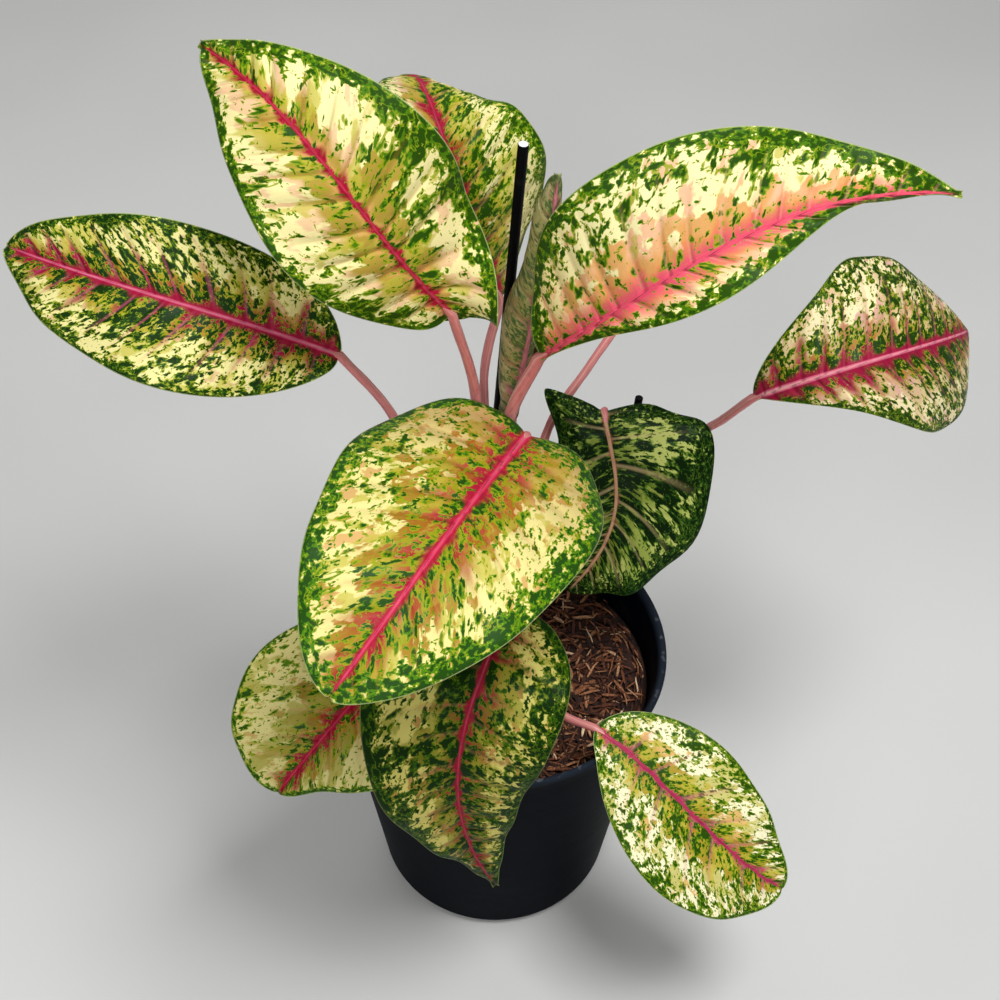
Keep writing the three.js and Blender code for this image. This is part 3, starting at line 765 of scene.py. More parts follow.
@dataclass
class NurseryPot:
    """The moulded pot: a tapering wall, a rounded heel, a rolled rim and six drain holes."""

    height: float = 150
    rim_radius: float = 75
    base_radius: float = 54
    heel: float = 7
    wall: float = 2
    bead: float = 1.6
    floor: float = 3
    sides: int = 160
    holes: int = 6
    hole_radius: float = 4
    hole_circle: float = 36
    # Its finish paints a highlight just under the rim's top edge, at 150 mm.
    finish: MouldedPolypropylene = MouldedPolypropylene(highlight_from=0.15)

    FLARE = 1.5  # mm that the wall at the heel stands outside the base
    WAVER, WAVER_WIDTH = 0.22, 70  # mm that the thin wall is out of round, and over what width
    HOLE_SIDES = 24
    # Rings of points in the section's parts.
    HEEL_RINGS, WALL_RINGS, BEAD_RINGS, INSIDE_RINGS, FLOOR_RINGS = 9, 24, 13, 20, 8

    def radius(self, z: np.ndarray | float) -> np.ndarray | float:
        """The outside of the wall at a height."""
        low, high = self.base_radius + self.FLARE, self.rim_radius - self.bead
        return low + (high - low) * (z - self.heel) / (self.height - self.heel)

    def profile(self) -> np.ndarray:
        """The section from the middle of the underside over the rim to the middle inside."""
        heel_middle = self.radius(self.heel) - self.heel
        turn = np.linspace(-math.pi / 2, 0, self.HEEL_RINGS)
        heel = self.heel * np.stack([np.cos(turn), 1 + np.sin(turn)], -1)
        heel[:, 0] += heel_middle
        bead_z = self.height - self.bead
        wall_z = np.linspace(self.heel + 5, bead_z - 3 * self.bead, self.WALL_RINGS)
        wall = np.stack([self.radius(wall_z), wall_z], -1)
        roll = np.linspace(-math.pi / 3, TURN / 3, self.BEAD_RINGS)
        bead = self.bead * np.stack([np.cos(roll), np.sin(roll)], -1)
        bead += self.rim_radius - self.bead, bead_z
        top, bottom = self.height - 2 * self.bead, self.heel + self.floor
        inside_z = np.linspace(top, bottom, self.INSIDE_RINGS)
        inside = np.stack([self.radius(inside_z) - self.wall, inside_z], -1)
        flat = np.linspace(heel_middle, 0, self.FLOOR_RINGS)
        under = np.stack([flat[::-1], 0 * flat], -1)
        above = np.stack([flat, 0 * flat + self.floor], -1)
        return np.concatenate([under[:-1], heel, wall, bead, inside, above])

    def build(self) -> bpy.types.Object:
        """Turns the section, lets the thin wall waver a little, and bores the drain holes."""
        section = self.profile()
        turn = np.arange(self.sides) * TURN / self.sides
        radius, height = section[:, None, 0], section[:, None, 1]
        ring = np.stack([radius * np.cos(turn), radius * np.sin(turn), height + 0 * turn], -1)
        waver = self.WAVER * lumps(ring, self.WAVER_WIDTH, 3) * smooth(15, 60, ring[..., 2])
        ring[..., :2] *= (1 + waver / self.rim_radius)[..., None]
        inner = ring[1:-1].reshape(-1, 3)
        points = np.concatenate([inner, [[0, 0, 0], [0, 0, self.floor]]])
        lines = len(section) - 2
        faces = grid_quads(lines, self.sides, closed=True).tolist()
        low, high = len(points) - 2, len(points) - 1
        last = (lines - 1) * self.sides
        for side in range(self.sides):
            after = (side + 1) % self.sides
            faces += [[low, after, side], [high, last + side, last + after]]
        piece = mesh_object(
            "pot", points, faces, [self.finish.dress("moulded_polypropylene")], Slot.POT, ("pot",)
        )
        self.bore(piece)
        return piece

    def bore(self, piece: bpy.types.Object) -> None:
        """Cuts the drain holes through the floor.

        Args:
            piece: The pot.
        """
        turn = np.arange(self.HOLE_SIDES) * TURN / self.HOLE_SIDES
        disc = np.stack([self.hole_radius * np.cos(turn), self.hole_radius * np.sin(turn)], -1)
        points, faces = [], []
        for hole in range(self.holes):
            angle = (hole + 0.5) * TURN / self.holes
            middle = self.hole_circle * np.array([math.cos(angle), math.sin(angle)])
            start = len(points)
            for z in (-2 * self.floor, 2 * self.floor):
                points += [[*(middle + spot), z] for spot in disc]
            faces += [[start + i for i in face] for face in tube_faces(2, self.HOLE_SIDES)]
        mesh = bpy.data.meshes.new("bores")
        mesh.from_pydata((np.array(points) * MM).tolist(), [], faces)
        cutter = bpy.data.objects.new("bores", mesh)
        bpy.context.scene.collection.objects.link(cutter)
        cut = piece.modifiers.new("holes", "BOOLEAN")
        cut.operation, cut.solver, cut.object = "DIFFERENCE", "EXACT", cutter
        bpy.context.view_layer.update()
        bored = bpy.data.meshes.new_from_object(
            piece.evaluated_get(bpy.context.evaluated_depsgraph_get())
        )
        piece.modifiers.clear()
        piece.data = bored
        bpy.data.objects.remove(cutter)


@dataclass
class Compost:
    """The fill of coir: an uneven top, the large chips of its solid, and many fine slivers."""

    pot: NurseryPot
    height: float = 126
    clearance: float = 0.3
    relief: float = 1.6
    chips: int = 30
    chip_length: tuple[float, float] = (9, 17)
    chip_width: tuple[float, float] = (1.8, 3.4)
    chip_thickness: float = 2.4
    chip_tilt: float = 0.15
    chip_seed: int = 7
    slivers: int = 2700
    sliver_length: tuple[float, float] = (5, 15)
    sliver_width: tuple[float, float] = (0.4, 1.5)
    sliver_tone: tuple[float, float] = (0.36, 0.25)  # their mean tone and its spread
    sliver_rise: tuple[float, float] = (-0.8, 2.2)  # their middles over the fill's top
    wall_gap: float = 1.3  # between the slivers and the pot's wall
    finish: CoirHusk = CoirHusk()

    SIDES = 120
    CRUMBS = ((0.8, 7, 11), (0.6, 3, 12), (0.5, 28, 13))  # rise, width and seed
    SERIES = (1664525, 1013904223, 4294967296)  # factor, step and span of the solid's series
    TAKEN = 160  # numbers of the series that the solid's own unevenness takes first
    CHIP_GAP = 3  # mm between a large chip and the wall
    CHIP_SHARE = 0.6  # of the thickness of the solid's chips
    # A sliver's rings: places along it, their girths, and the corners of each.
    SHARES = np.array([-0.5, -0.36, -0.12, 0.14, 0.38, 0.5])
    GIRTHS = np.array([0.22, 0.8, 1.0, 0.95, 0.7, 0.18])
    CORNERS = np.array([[-0.5, -0.4], [0.5, -0.5], [0.42, 0.5], [-0.5, 0.38]])

    def sliver(
        self, middle: np.ndarray, size: np.ndarray, turn: float, tilt: float, bow: float
    ) -> tuple[np.ndarray, np.ndarray]:
        """One splinter of husk: pointed at both ends, bowed and a little twisted.

        Args:
            middle: Its middle, in mm.
            size: Its length, width and thickness.
            turn: Its bearing, in radians.
            tilt: How far one end is raised, in radians.
            bow: How far its middle stands above its ends, in mm.

        Returns:
            Its points and its quads.
        """
        share, girth = self.SHARES[:, None], self.GIRTHS[:, None]
        sideways, upright = self.CORNERS.T
        along = share * size[0] + 0 * sideways
        across = girth * sideways * size[1]
        rise = girth * upright * size[2] + bow * (1 - 4 * share**2)
        across = across + 0.5 * bow * np.sin(5 * share)
        x = along * math.cos(tilt) - rise * math.sin(tilt)
        z = along * math.sin(tilt) + rise * math.cos(tilt)
        spot = np.stack(
            [
                x * math.cos(turn) - across * math.sin(turn),
                x * math.sin(turn) + across * math.cos(turn),
                z,
            ],
            -1,
        )
        quads = tube_faces(len(self.SHARES), len(self.CORNERS))
        return spot.reshape(-1, 3) + middle, np.array(quads)

    def build(self) -> bpy.types.Object:
        """Makes the bed, then lays the chips and the slivers on it."""
        bed, faces = self.bed()
        random = np.random.default_rng(self.chip_seed)
        # The bed under the chips takes a near-black tone: shade painted into the gaps between the
        # chips.
        parts, tones = [bed], [np.full(len(bed), 0.08) + 0.06 * lumps(bed, 6, 5)]
        count = len(bed)
        inner = self.pot.radius(self.height) - self.pot.wall - self.clearance

        def lay(*chip: object, tone: float) -> None:
            """Adds one sliver of that tone."""
            nonlocal count
            points, quads = self.sliver(*chip)
            faces.extend((quads + count).tolist())
            parts.append(points)
            tones.append(np.full(len(points), tone))
            count += len(points)

        for middle, size, turn, tilt in self.large_chips():
            lay(middle, size, turn, tilt, 0.5, tone=random.uniform(0.3, 0.65))
        for _ in range(self.slivers):
            length = random.uniform(*self.sliver_length) * random.uniform(0.6, 1)
            width = random.uniform(*self.sliver_width)
            size = np.array([length, width, min(0.7, 0.5 * width)])
            reach = inner - self.wall_gap
            away = math.sqrt((reach**2 - length**2 / 4) * random.random())
            bearing = random.uniform(0, TURN)
            turn = random.uniform(0, math.pi)
            if away > reach - length / 2:  # by the wall they lie along it
                turn = bearing + math.pi / 2 + random.uniform(-0.2, 0.2)
            z = self.height + random.uniform(*self.sliver_rise)
            middle = np.array([away * math.cos(bearing), away * math.sin(bearing), z])
            tone = float(np.clip(random.normal(*self.sliver_tone), 0.05, 0.98))
            tilt, bow = random.normal(0, 0.16), random.uniform(0, 0.09 * length)
            lay(middle, size, turn, tilt, bow, tone=tone)
        material = self.finish.dress("shredded_coir")
        points = np.concatenate(parts)
        piece = mesh_object("soil", points, faces, [material], Slot.COMPOST, ("soil",))
        measure(piece, Channel.TONE, np.concatenate(tones))
        return piece

    def bed(self) -> tuple[np.ndarray, list]:
        """The fill under the chips: the pot's inside, closed by a crumbly top."""
        turn = np.arange(self.SIDES) * TURN / self.SIDES
        pot = self.pot
        middle = pot.radius(pot.heel) - pot.heel - self.clearance
        gap = pot.wall + self.clearance
        foot = pot.floor + self.clearance
        rings = [(0.3 * middle, foot), (middle, foot)]
        rings += [
            (pot.radius(z) - gap, z + self.clearance) for z in (pot.heel + pot.floor, 60, 110)
        ]
        rings += [(pot.radius(z) - gap, z) for z in (122, self.height - 1)]
        below = len(rings)
        reach = pot.radius(self.height) - gap
        rings += [(reach * share, self.height) for share in np.linspace(0.985, 0.02, 46)]
        radius, height = np.array(rings).T[..., None]
        points = np.stack([radius * np.cos(turn), radius * np.sin(turn), height + 0 * turn], -1)
        crumbs = sum(rise * lumps(points, width, seed) for rise, width, seed in self.CRUMBS)
        points[below:, :, 2] += crumbs[below:]
        return points.reshape(-1, 3), tube_faces(len(rings), self.SIDES)

    def large_chips(self) -> list[tuple[np.ndarray, np.ndarray, float, float]]:
        """The large chips of the solid, from the same series: middle, size, bearing and tilt."""
        factor, step, span = self.SERIES
        state = self.chip_seed

        def mix(low: float, high: float) -> float:
            """The next number of the series, from low to high."""
            nonlocal state
            state = (state * factor + step) % span
            return low + (high - low) * state / span

        for _ in range(self.TAKEN):
            mix(0, 1)
        inner = self.pot.radius(self.height) - self.pot.wall - self.clearance
        found = []
        for _ in range(self.chips):
            length, width = mix(*self.chip_length), mix(*self.chip_width)
            reach = (inner - length / 2 - self.CHIP_GAP) * math.sqrt(mix(0, 1))
            bearing = mix(0, TURN)
            tilt = -mix(-self.chip_tilt, self.chip_tilt)
            turn = mix(0, math.pi)
            z = self.height + self.chip_thickness * mix(0.25, 0.75)
            middle = np.array([reach * math.cos(bearing), reach * math.sin(bearing), z])
            size = np.array([length, width, self.CHIP_SHARE * self.chip_thickness])
            found.append((middle, size, turn, tilt))
        return found


def lathe_along(
    foot: np.ndarray, top: np.ndarray, profile: np.ndarray, sides: int
) -> tuple[np.ndarray, list]:
    """A turned piece about any axis.

    Args:
        foot: The axis's lower end, in mm.
        top: Its upper end.
        profile: Radius and distance from the foot, from end to end.
        sides: Points round it.

    Returns:
        Its points and its faces, with flat ends.
    """
    direction = unit(top - foot)
    one = unit(np.cross(direction, [0.0, 1.0, 0.0]))
    other = np.cross(direction, one)
    turn = np.arange(sides) * TURN / sides
    around = np.cos(turn)[:, None] * one + np.sin(turn)[:, None] * other
    points = foot + profile[:, None, 1:] * direction + profile[:, None, :1] * around
    return points.reshape(-1, 3), tube_faces(len(profile), sides)


@dataclass
class Cane:
    """The short upright stem, with a low ridge at each leaf scar."""

    radius: float = 7
    foot: float = 100
    top: float = 212
    scar_step: float = 14
    scar_height: float = 2.5
    scar_rise: float = 0.5
    taper: float = 0.15
    sides: int = 48
    finish: CaneBark = CaneBark()

    def build(self) -> bpy.types.Object:
        """Turns the cane's section."""
        rings = [(self.radius - self.scar_rise, 0.0)]
        z = 0.0
        while self.foot + z + self.scar_step < self.top:
            radius = self.radius * (1 - self.taper * z / (self.top - self.foot))
            z += self.scar_step
            rings += [
                (radius - 0.9 * self.scar_rise, z - 0.6 * self.scar_step),
                (radius - self.scar_rise, z - self.scar_height),
                (radius - 0.15 * self.scar_rise, z - 0.3 * self.scar_height),
                (radius, z - 0.1),
                (radius - 0.7 * self.scar_rise, z + 0.3),
            ]
        tall = self.top - self.foot
        rings += [(0.62 * self.radius, tall - 1.5), (0.5 * self.radius, tall), (0.2, tall + 0.3)]
        foot, top = np.array([0.0, 0, self.foot]), np.array([0.0, 0, self.top])
        points, faces = lathe_along(foot, top, np.array(rings), self.sides)
        points[:, :2] *= 1 + 0.02 * lumps(points, 18, 21)[:, None]
        return mesh_object(
            "cane", points, faces, [self.finish.dress("cane_bark")], Slot.CANE, ("cane",)
        )


@dataclass
class Stake:
    """A thin black plastic rod, sawn off square at its top, where its paler core shows."""

    name: str
    foot: Row
    top: Row
    radius: float
    core: str = "#17181B"
    sides: int = 32

    RINGS = 40
    ENDS = (0.4, 0.5)  # mm from the foot and from the top at which the even rod ends
    WAVER = ((0.012, 9), (0.008, 3.1))  # shares of the radius, and over how many mm

    def build(self) -> bpy.types.Object:
        """Turns the rod and lays its cut end in a second material."""
        foot, top = np.array(self.foot, float), np.array(self.top, float)
        tall = float(np.linalg.norm(top - foot))
        r = self.radius
        lengths = np.linspace(self.ENDS[0], tall - self.ENDS[1], self.RINGS)
        waver = 1 + sum(share * np.sin(lengths / width) for share, width in self.WAVER)
        rod = np.stack([r * waver, lengths], -1)
        ends = ([[r - 0.35, 0.0]], rod, [[r - 0.05, tall - 0.2], [r - 0.22, tall], [0.3, tall]])
        points, faces = lathe_along(foot, top, np.concatenate(ends), self.sides)
        skin = MouldedPolypropylene(
            black="#0B0B0D", dusty=0.06, roughness=(0.26, 0.42), dust="#55534E"
        )
        cut = MouldedPolypropylene(black=self.core, dusty=0.2, roughness=(0.6, 0.75))
        materials = [
            skin.dress(f"{self.name}_extruded_plastic"),
            cut.dress(f"{self.name}_sawn_plastic"),
        ]
        piece = mesh_object(self.name, points, faces, materials, Slot.STAKE, (self.name,))
        count = len(piece.data.polygons)
        for index in [*range(count - 2 - self.sides, count - 2), count - 1]:
            piece.data.polygons[index].material_index = 1
            piece.data.polygons[index].use_smooth = False
        return piece


# ---------------------------------------------------------------- leaves


@dataclass(frozen=True)
class LeafShape:
    """One leaf's sizes, the same as those of its solid.

    rib is four points of the midrib, and face where the upper side looks at its base, middle and
    tip. left and right are half widths at five even places. fold_left and fold_right are rows of
    share of length, rise at the midrib and bend to the margin, in degrees. lobes reach back past
    the joint, and wave is height, waves and phase. petiole is the stalk's path.
    """

    rib: Points
    face: Points
    left: Row
    right: Row
    fold_left: Points
    fold_right: Points
    petiole: Points
    lobes: Row = (0, 0)
    wave: Row = (0, 0, 0)


class Midrib:
    """The cubic curve through four even points, measured by its length."""

    SAMPLES = 401

    def __init__(self, points: Points) -> None:
        """Measures the curve through those points."""
        p = np.array(points, float)
        b1 = (-5 * p[0] + 18 * p[1] - 9 * p[2] + 2 * p[3]) / 6
        b2 = (2 * p[0] - 9 * p[1] + 18 * p[2] - 5 * p[3]) / 6
        t = np.linspace(0, 1, self.SAMPLES)[:, None]
        s = 1 - t
        self.line = s**3 * p[0] + 3 * s**2 * t * b1 + 3 * s * t**2 * b2 + t**3 * p[3]
        self.course = unit(
            3 * s**2 * (b1 - p[0]) + 6 * s * t * (b2 - b1) + 3 * t**2 * (p[3] - b2)
        )
        steps = np.linalg.norm(np.diff(self.line, axis=0), axis=1)
        self.lengths = np.concatenate([[0], np.cumsum(steps)])
        self.length = float(self.lengths[-1])

    def at(self, place: np.ndarray) -> tuple[np.ndarray, np.ndarray]:
        """Points and directions at shares of the length. It runs straight on past its ends."""
        inside = np.clip(place, 0, 1)
        spot = inside * self.length
        point = np.stack([np.interp(spot, self.lengths, self.line[:, k]) for k in range(3)], -1)
        course = np.stack([np.interp(spot, self.lengths, self.course[:, k]) for k in range(3)], -1)
        course = unit(course)
        return point + course * ((place - inside) * self.length)[..., None], course


def between(values: Row, t: np.ndarray) -> np.ndarray:
    """A smooth value between even ones."""
    v = np.array(values, float)
    spans = len(v) - 1
    span = np.clip(np.floor(t * spans).astype(int), 0, spans - 1)
    f = t * spans - span
    wide = np.concatenate([[2 * v[0] - v[1]], v, [2 * v[-1] - v[-2]]])
    before, start, end, after = (wide[span + k] for k in range(4))
    square = 2 * before - 5 * start + 4 * end - after
    cube = 3 * start - before - 3 * end + after
    return start + 0.5 * f * (end - before + f * (square + f * cube))


def fold_at(keys: Points, t: np.ndarray) -> tuple[np.ndarray, np.ndarray]:
    """The rise and the bend of one side at shares of the length, in radians."""
    k = np.array(keys, float)
    span = np.clip(np.searchsorted(k[:, 0], t, side="right") - 1, 0, len(k) - 2)
    f = np.clip((t - k[span, 0]) / (k[span + 1, 0] - k[span, 0]), 0, 1)
    f = (f * f * (3 - 2 * f))[..., None]
    both = np.radians(k[span, 1:] * (1 - f) + k[span + 1, 1:] * f)
    return both[..., 0], both[..., 1]


@dataclass
class Blade:
    """A leaf blade: a thin sheet pleated along its side veins, with its midrib."""

    name: str
    shape: LeafShape
    skin: LeafSkin
    slot: Slot = Slot.LEAF
    pleat: float = 0.5  # mm that the sheet swells between its side veins
    vein_step: float = 12.0  # mm between side veins
    ruffle: tuple[float, float] = (0.4, 7.0)  # height and number of the margin's small waves
    rib_radius: tuple[float, float] = (1.35, 0.45)  # at the joint and at the tip
    thickness: float = 0.5
    row_step: float = 1.5
    side_columns: int = 22

    ENDS = (0.014, 0.996)
    WAVE_SHIFT = 0.13
    LEAST_HALF_WIDTH = 1.4
    FOLD_ROUND = 3.0
    VEIN_SWEEP = 1.1
    LOBE_PEAK = 4.13
    RIB_COLUMNS = (0.0, 0.3, 0.6, 0.85, 1.1, 1.45)
    COLUMN_EASE = 0.93  # below 1, the columns crowd together to the margin
    # The midrib's height above and below the sheet, in its half widths, and the keel's width.
    RIDGE, KEEL, KEEL_WIDTH = 0.28, 1.25, 1.15
    RIB_ENDS = 0.86  # the share of the length from which the midrib sinks to the tip
    RIM_WIDTH = 2.5  # mm in which the sheet grows from half its thickness to all of it
    VEIN_WANDER = (0.12, 0.19)  # how far the spacing of the side veins varies, and how fast
    VEIN_OFFSET = 0.45  # the right side's veins start between the left side's

    def half_widths(self, t: np.ndarray) -> tuple[np.ndarray, np.ndarray]:
        """The half widths of the left and the right side at shares of the length."""
        swell = np.sin(math.pi * t)
        wide = [swell * between(side, t) for side in (self.shape.left, self.shape.right)]
        return tuple(np.maximum(side, self.LEAST_HALF_WIDTH) for side in wide)

    def rib_half_width(self, t: np.ndarray) -> np.ndarray:
        """The midrib's half width at shares of the length."""
        start, end = self.rib_radius
        narrow = np.minimum(*self.half_widths(t))
        return np.minimum(start + (end - start) * t**0.8, 0.45 * narrow)

    def sheet(self, t: np.ndarray, v: np.ndarray) -> tuple[np.ndarray, ...]:
        """The blade's middle surface.

        Args:
            t: Shares of the length.
            v: -1 at the left margin, 0 at the midrib and 1 at the right margin.

        Returns:
            Points, the way the upper side faces, place along the midrib in mm, place of the row's
            start on the midrib in mm, and distance out from it.
        """
        shape, midrib = self.shape, Midrib(self.shape.rib)
        out, on_left, side_sign = np.abs(v), v < 0, np.sign(v)
        swell = np.sin(math.pi * t)
        length = midrib.length
        even = 0.5 * (1 - np.cos(math.pi * t))
        mean = swell * (between(shape.left, t) + between(shape.right, t)) / 2
        start = even * (1 - self.VEIN_SWEEP * mean / length)
        lobe = np.where(on_left, *shape.lobes) * self.LOBE_PEAK * swell * (1 - t) ** 4
        place = start + (even - lobe - start) * out**1.15
        point, tangent = midrib.at(place)
        a = np.clip(place, 0, 1)[..., None]
        face = np.array(shape.face, float)
        normal = face[0] * (1 - a) ** 2 + face[1] * 2 * a * (1 - a) + face[2] * a**2
        normal = unit(normal - (normal * tangent).sum(-1, keepdims=True) * tangent)
        side = np.cross(tangent, normal)

        half = np.where(on_left, *self.half_widths(t))
        rises, bends = zip(fold_at(shape.fold_left, t), fold_at(shape.fold_right, t))
        rise, bend = np.where(on_left, *rises), np.where(on_left, *bends)
        turn = np.where(np.abs(bend) < 1e-3, 1e-3, bend)
        slope = rise + turn * out
        across = half * (np.sin(slope) - np.sin(rise)) / turn
        lift = -half * (np.cos(slope) - np.cos(rise)) / turn
        height, waves, phase = shape.wave
        turns = waves * t + phase + np.where(on_left, self.WAVE_SHIFT, 0)
        lift += height * np.sin(TURN * turns) * out**2 * np.sqrt(swell)
        point = point + side * (side_sign * across)[..., None] + normal * lift[..., None]
        tilt = slope * np.minimum(1, out * half / self.FOLD_ROUND)
        facing = normal * np.cos(tilt)[..., None] - side * (side_sign * np.sin(tilt))[..., None]
        return point, unit(facing), place * length, start * length, out * half

    def detail(self, t: np.ndarray, v: np.ndarray, passed: np.ndarray) -> np.ndarray:
        """How far the sheet is moved to its upper side by pleats and ruffles, in mm.

        Args:
            t: Shares of the length.
            v: Place across, as for sheet.
            passed: Side veins passed.

        Returns:
            The distance at each point.
        """
        out = np.abs(v)
        swell = np.sqrt(np.sin(math.pi * t))
        billow = np.abs(np.sin(math.pi * passed)) ** 0.7 - 0.6
        pleat = self.pleat * billow * smooth(0.03, 0.2, out) * smooth(1.0, 0.5, out)
        height, count = self.ruffle
        turns = count * t + 0.31 * np.sign(v) + 0.15 * np.sin(9 * t)
        ruffle = height * np.sin(TURN * turns) * smooth(0.6, 1.0, out)
        return (pleat + ruffle) * swell

    def columns(self, line: np.ndarray, rib: np.ndarray) -> np.ndarray:
        """Where each row's points lie across the blade.

        Args:
            line: The rows' shares of the length.
            rib: The midrib's half width in each row.

        Returns:
            From -1 at the left margin over 0 to 1 at the right one, a row for each of line.
        """
        near = rib[:, None] * np.array(self.RIB_COLUMNS)
        share = np.linspace(0, 1, self.side_columns + 1)[1:] ** self.COLUMN_EASE
        halves = []
        for wide in self.half_widths(line):
            far = near[:, -1:] + (wide[:, None] - near[:, -1:]) * share
            halves.append(np.concatenate([near, far], 1) / wide[:, None])
        v = np.concatenate([-halves[0][:, :0:-1], halves[1]], 1)
        if (np.diff(v, axis=1) <= 0).any():
            raise ValueError(f"the columns of {self.name} cross")
        return v

    @staticmethod
    def shell(lines: int, width: int) -> np.ndarray:
        """Faces of an upper and a lower sheet, joined by a rim.

        Args:
            lines: Rows of points in a sheet.
            width: Points in a row.

        Returns:
            Four indices a quad: the upper sheet, the rim, and last the lower sheet.
        """
        count = lines * width
        top = grid_quads(lines, width)
        first = np.arange(lines) * width
        foot = np.arange(width)
        last, tip = first + width - 1, foot + (lines - 1) * width
        rim = []
        for side, outward in ((first, True), (last, False), (foot, False), (tip, True)):
            start, end = side[:-1], side[1:]
            ring = [start, end, end + count, start + count]
            rim.append(np.stack(ring if outward else [ring[0], *ring[:0:-1]], -1))
        return np.concatenate([top, *rim, top[:, ::-1] + count])

    @staticmethod
    def doubled(*fields: np.ndarray) -> np.ndarray:
        """Columns of measures for the points of the upper sheet, then of the lower one."""
        return np.tile(np.stack(fields, -1).reshape(-1, len(fields)), (2, 1))

    def build(self) -> bpy.types.Object:
        """Makes the blade's two sheets and its rim, and measures them for the material."""
        length = Midrib(self.shape.rib).length
        line = np.linspace(*self.ENDS, round(length / self.row_step) + 1)
        rib = self.rib_half_width(line)
        v = self.columns(line, rib)
        t = line[:, None] + 0 * v
        rib = rib[:, None]
        point, facing, along, start, out = self.sheet(t, v)
        wander, pace = self.VEIN_WANDER
        passed = start / self.vein_step + wander * np.sin(pace * start + self.skin.seed)
        passed = passed + self.VEIN_OFFSET * (v > 0)
        across = out * np.sign(v)
        edge = self.margin_distance(along, across)
        ribs = out / rib
        point = point + facing * self.detail(t, v, passed)[..., None]

        # The midrib is a low ridge above and a rounded keel below.
        half_thick = self.thickness * (0.25 + 0.25 * smooth(0, self.RIM_WIDTH, edge))
        fade = smooth(1.0, self.RIB_ENDS, t) * smooth(-0.03, 0.03, t)
        ridge = self.RIDGE * rib * np.sqrt(np.clip(1 - ribs**2, 0, 1)) * fade
        hang = np.sqrt(np.clip(1 - (ribs / self.KEEL_WIDTH) ** 2, 0, 1))
        keel = self.KEEL * rib * hang * fade
        upper = point + facing * (half_thick + ridge)[..., None]
        lower = point - facing * (half_thick + keel)[..., None]
        points = np.concatenate([upper.reshape(-1, 3), lower.reshape(-1, 3)])

        faces = self.shell(*v.shape)
        materials = [
            self.skin.dress(f"leaf_cuticle_{self.name}", length),
            self.skin.underside().dress(f"leaf_underside_{self.name}", length),
        ]
        node = f"blade_{self.name}"
        piece = mesh_object(node, points, faces, materials, self.slot, (node,))
        slots = np.zeros(len(faces), np.int32)
        slots[-(v.shape[0] - 1) * (v.shape[1] - 1) :] = 1
        piece.data.polygons.foreach_set("material_index", slots)
        measure(piece, Channel.FLAT, self.doubled(along, across, edge))
        measure(piece, Channel.VEIN, self.doubled(start, out, passed))
        measure(piece, Channel.RIB, self.doubled(ribs)[:, 0])
        return piece

    def margin_distance(self, along: np.ndarray, across: np.ndarray) -> np.ndarray:
        """How far each point is in from the margin on the flattened leaf, in mm.

        Args:
            along: Place along the midrib.
            across: Place across it.

        Returns:
            The distance to the nearest point of the margin.
        """
        flat = np.stack([along, across], -1)
        rim = np.concatenate([flat[:, 0], flat[-1], flat[::-1, -1]])
        found = np.empty(along.shape)
        for row in range(len(along)):
            found[row] = np.linalg.norm(flat[row][:, None] - rim[None], axis=-1).min(1)
        return found


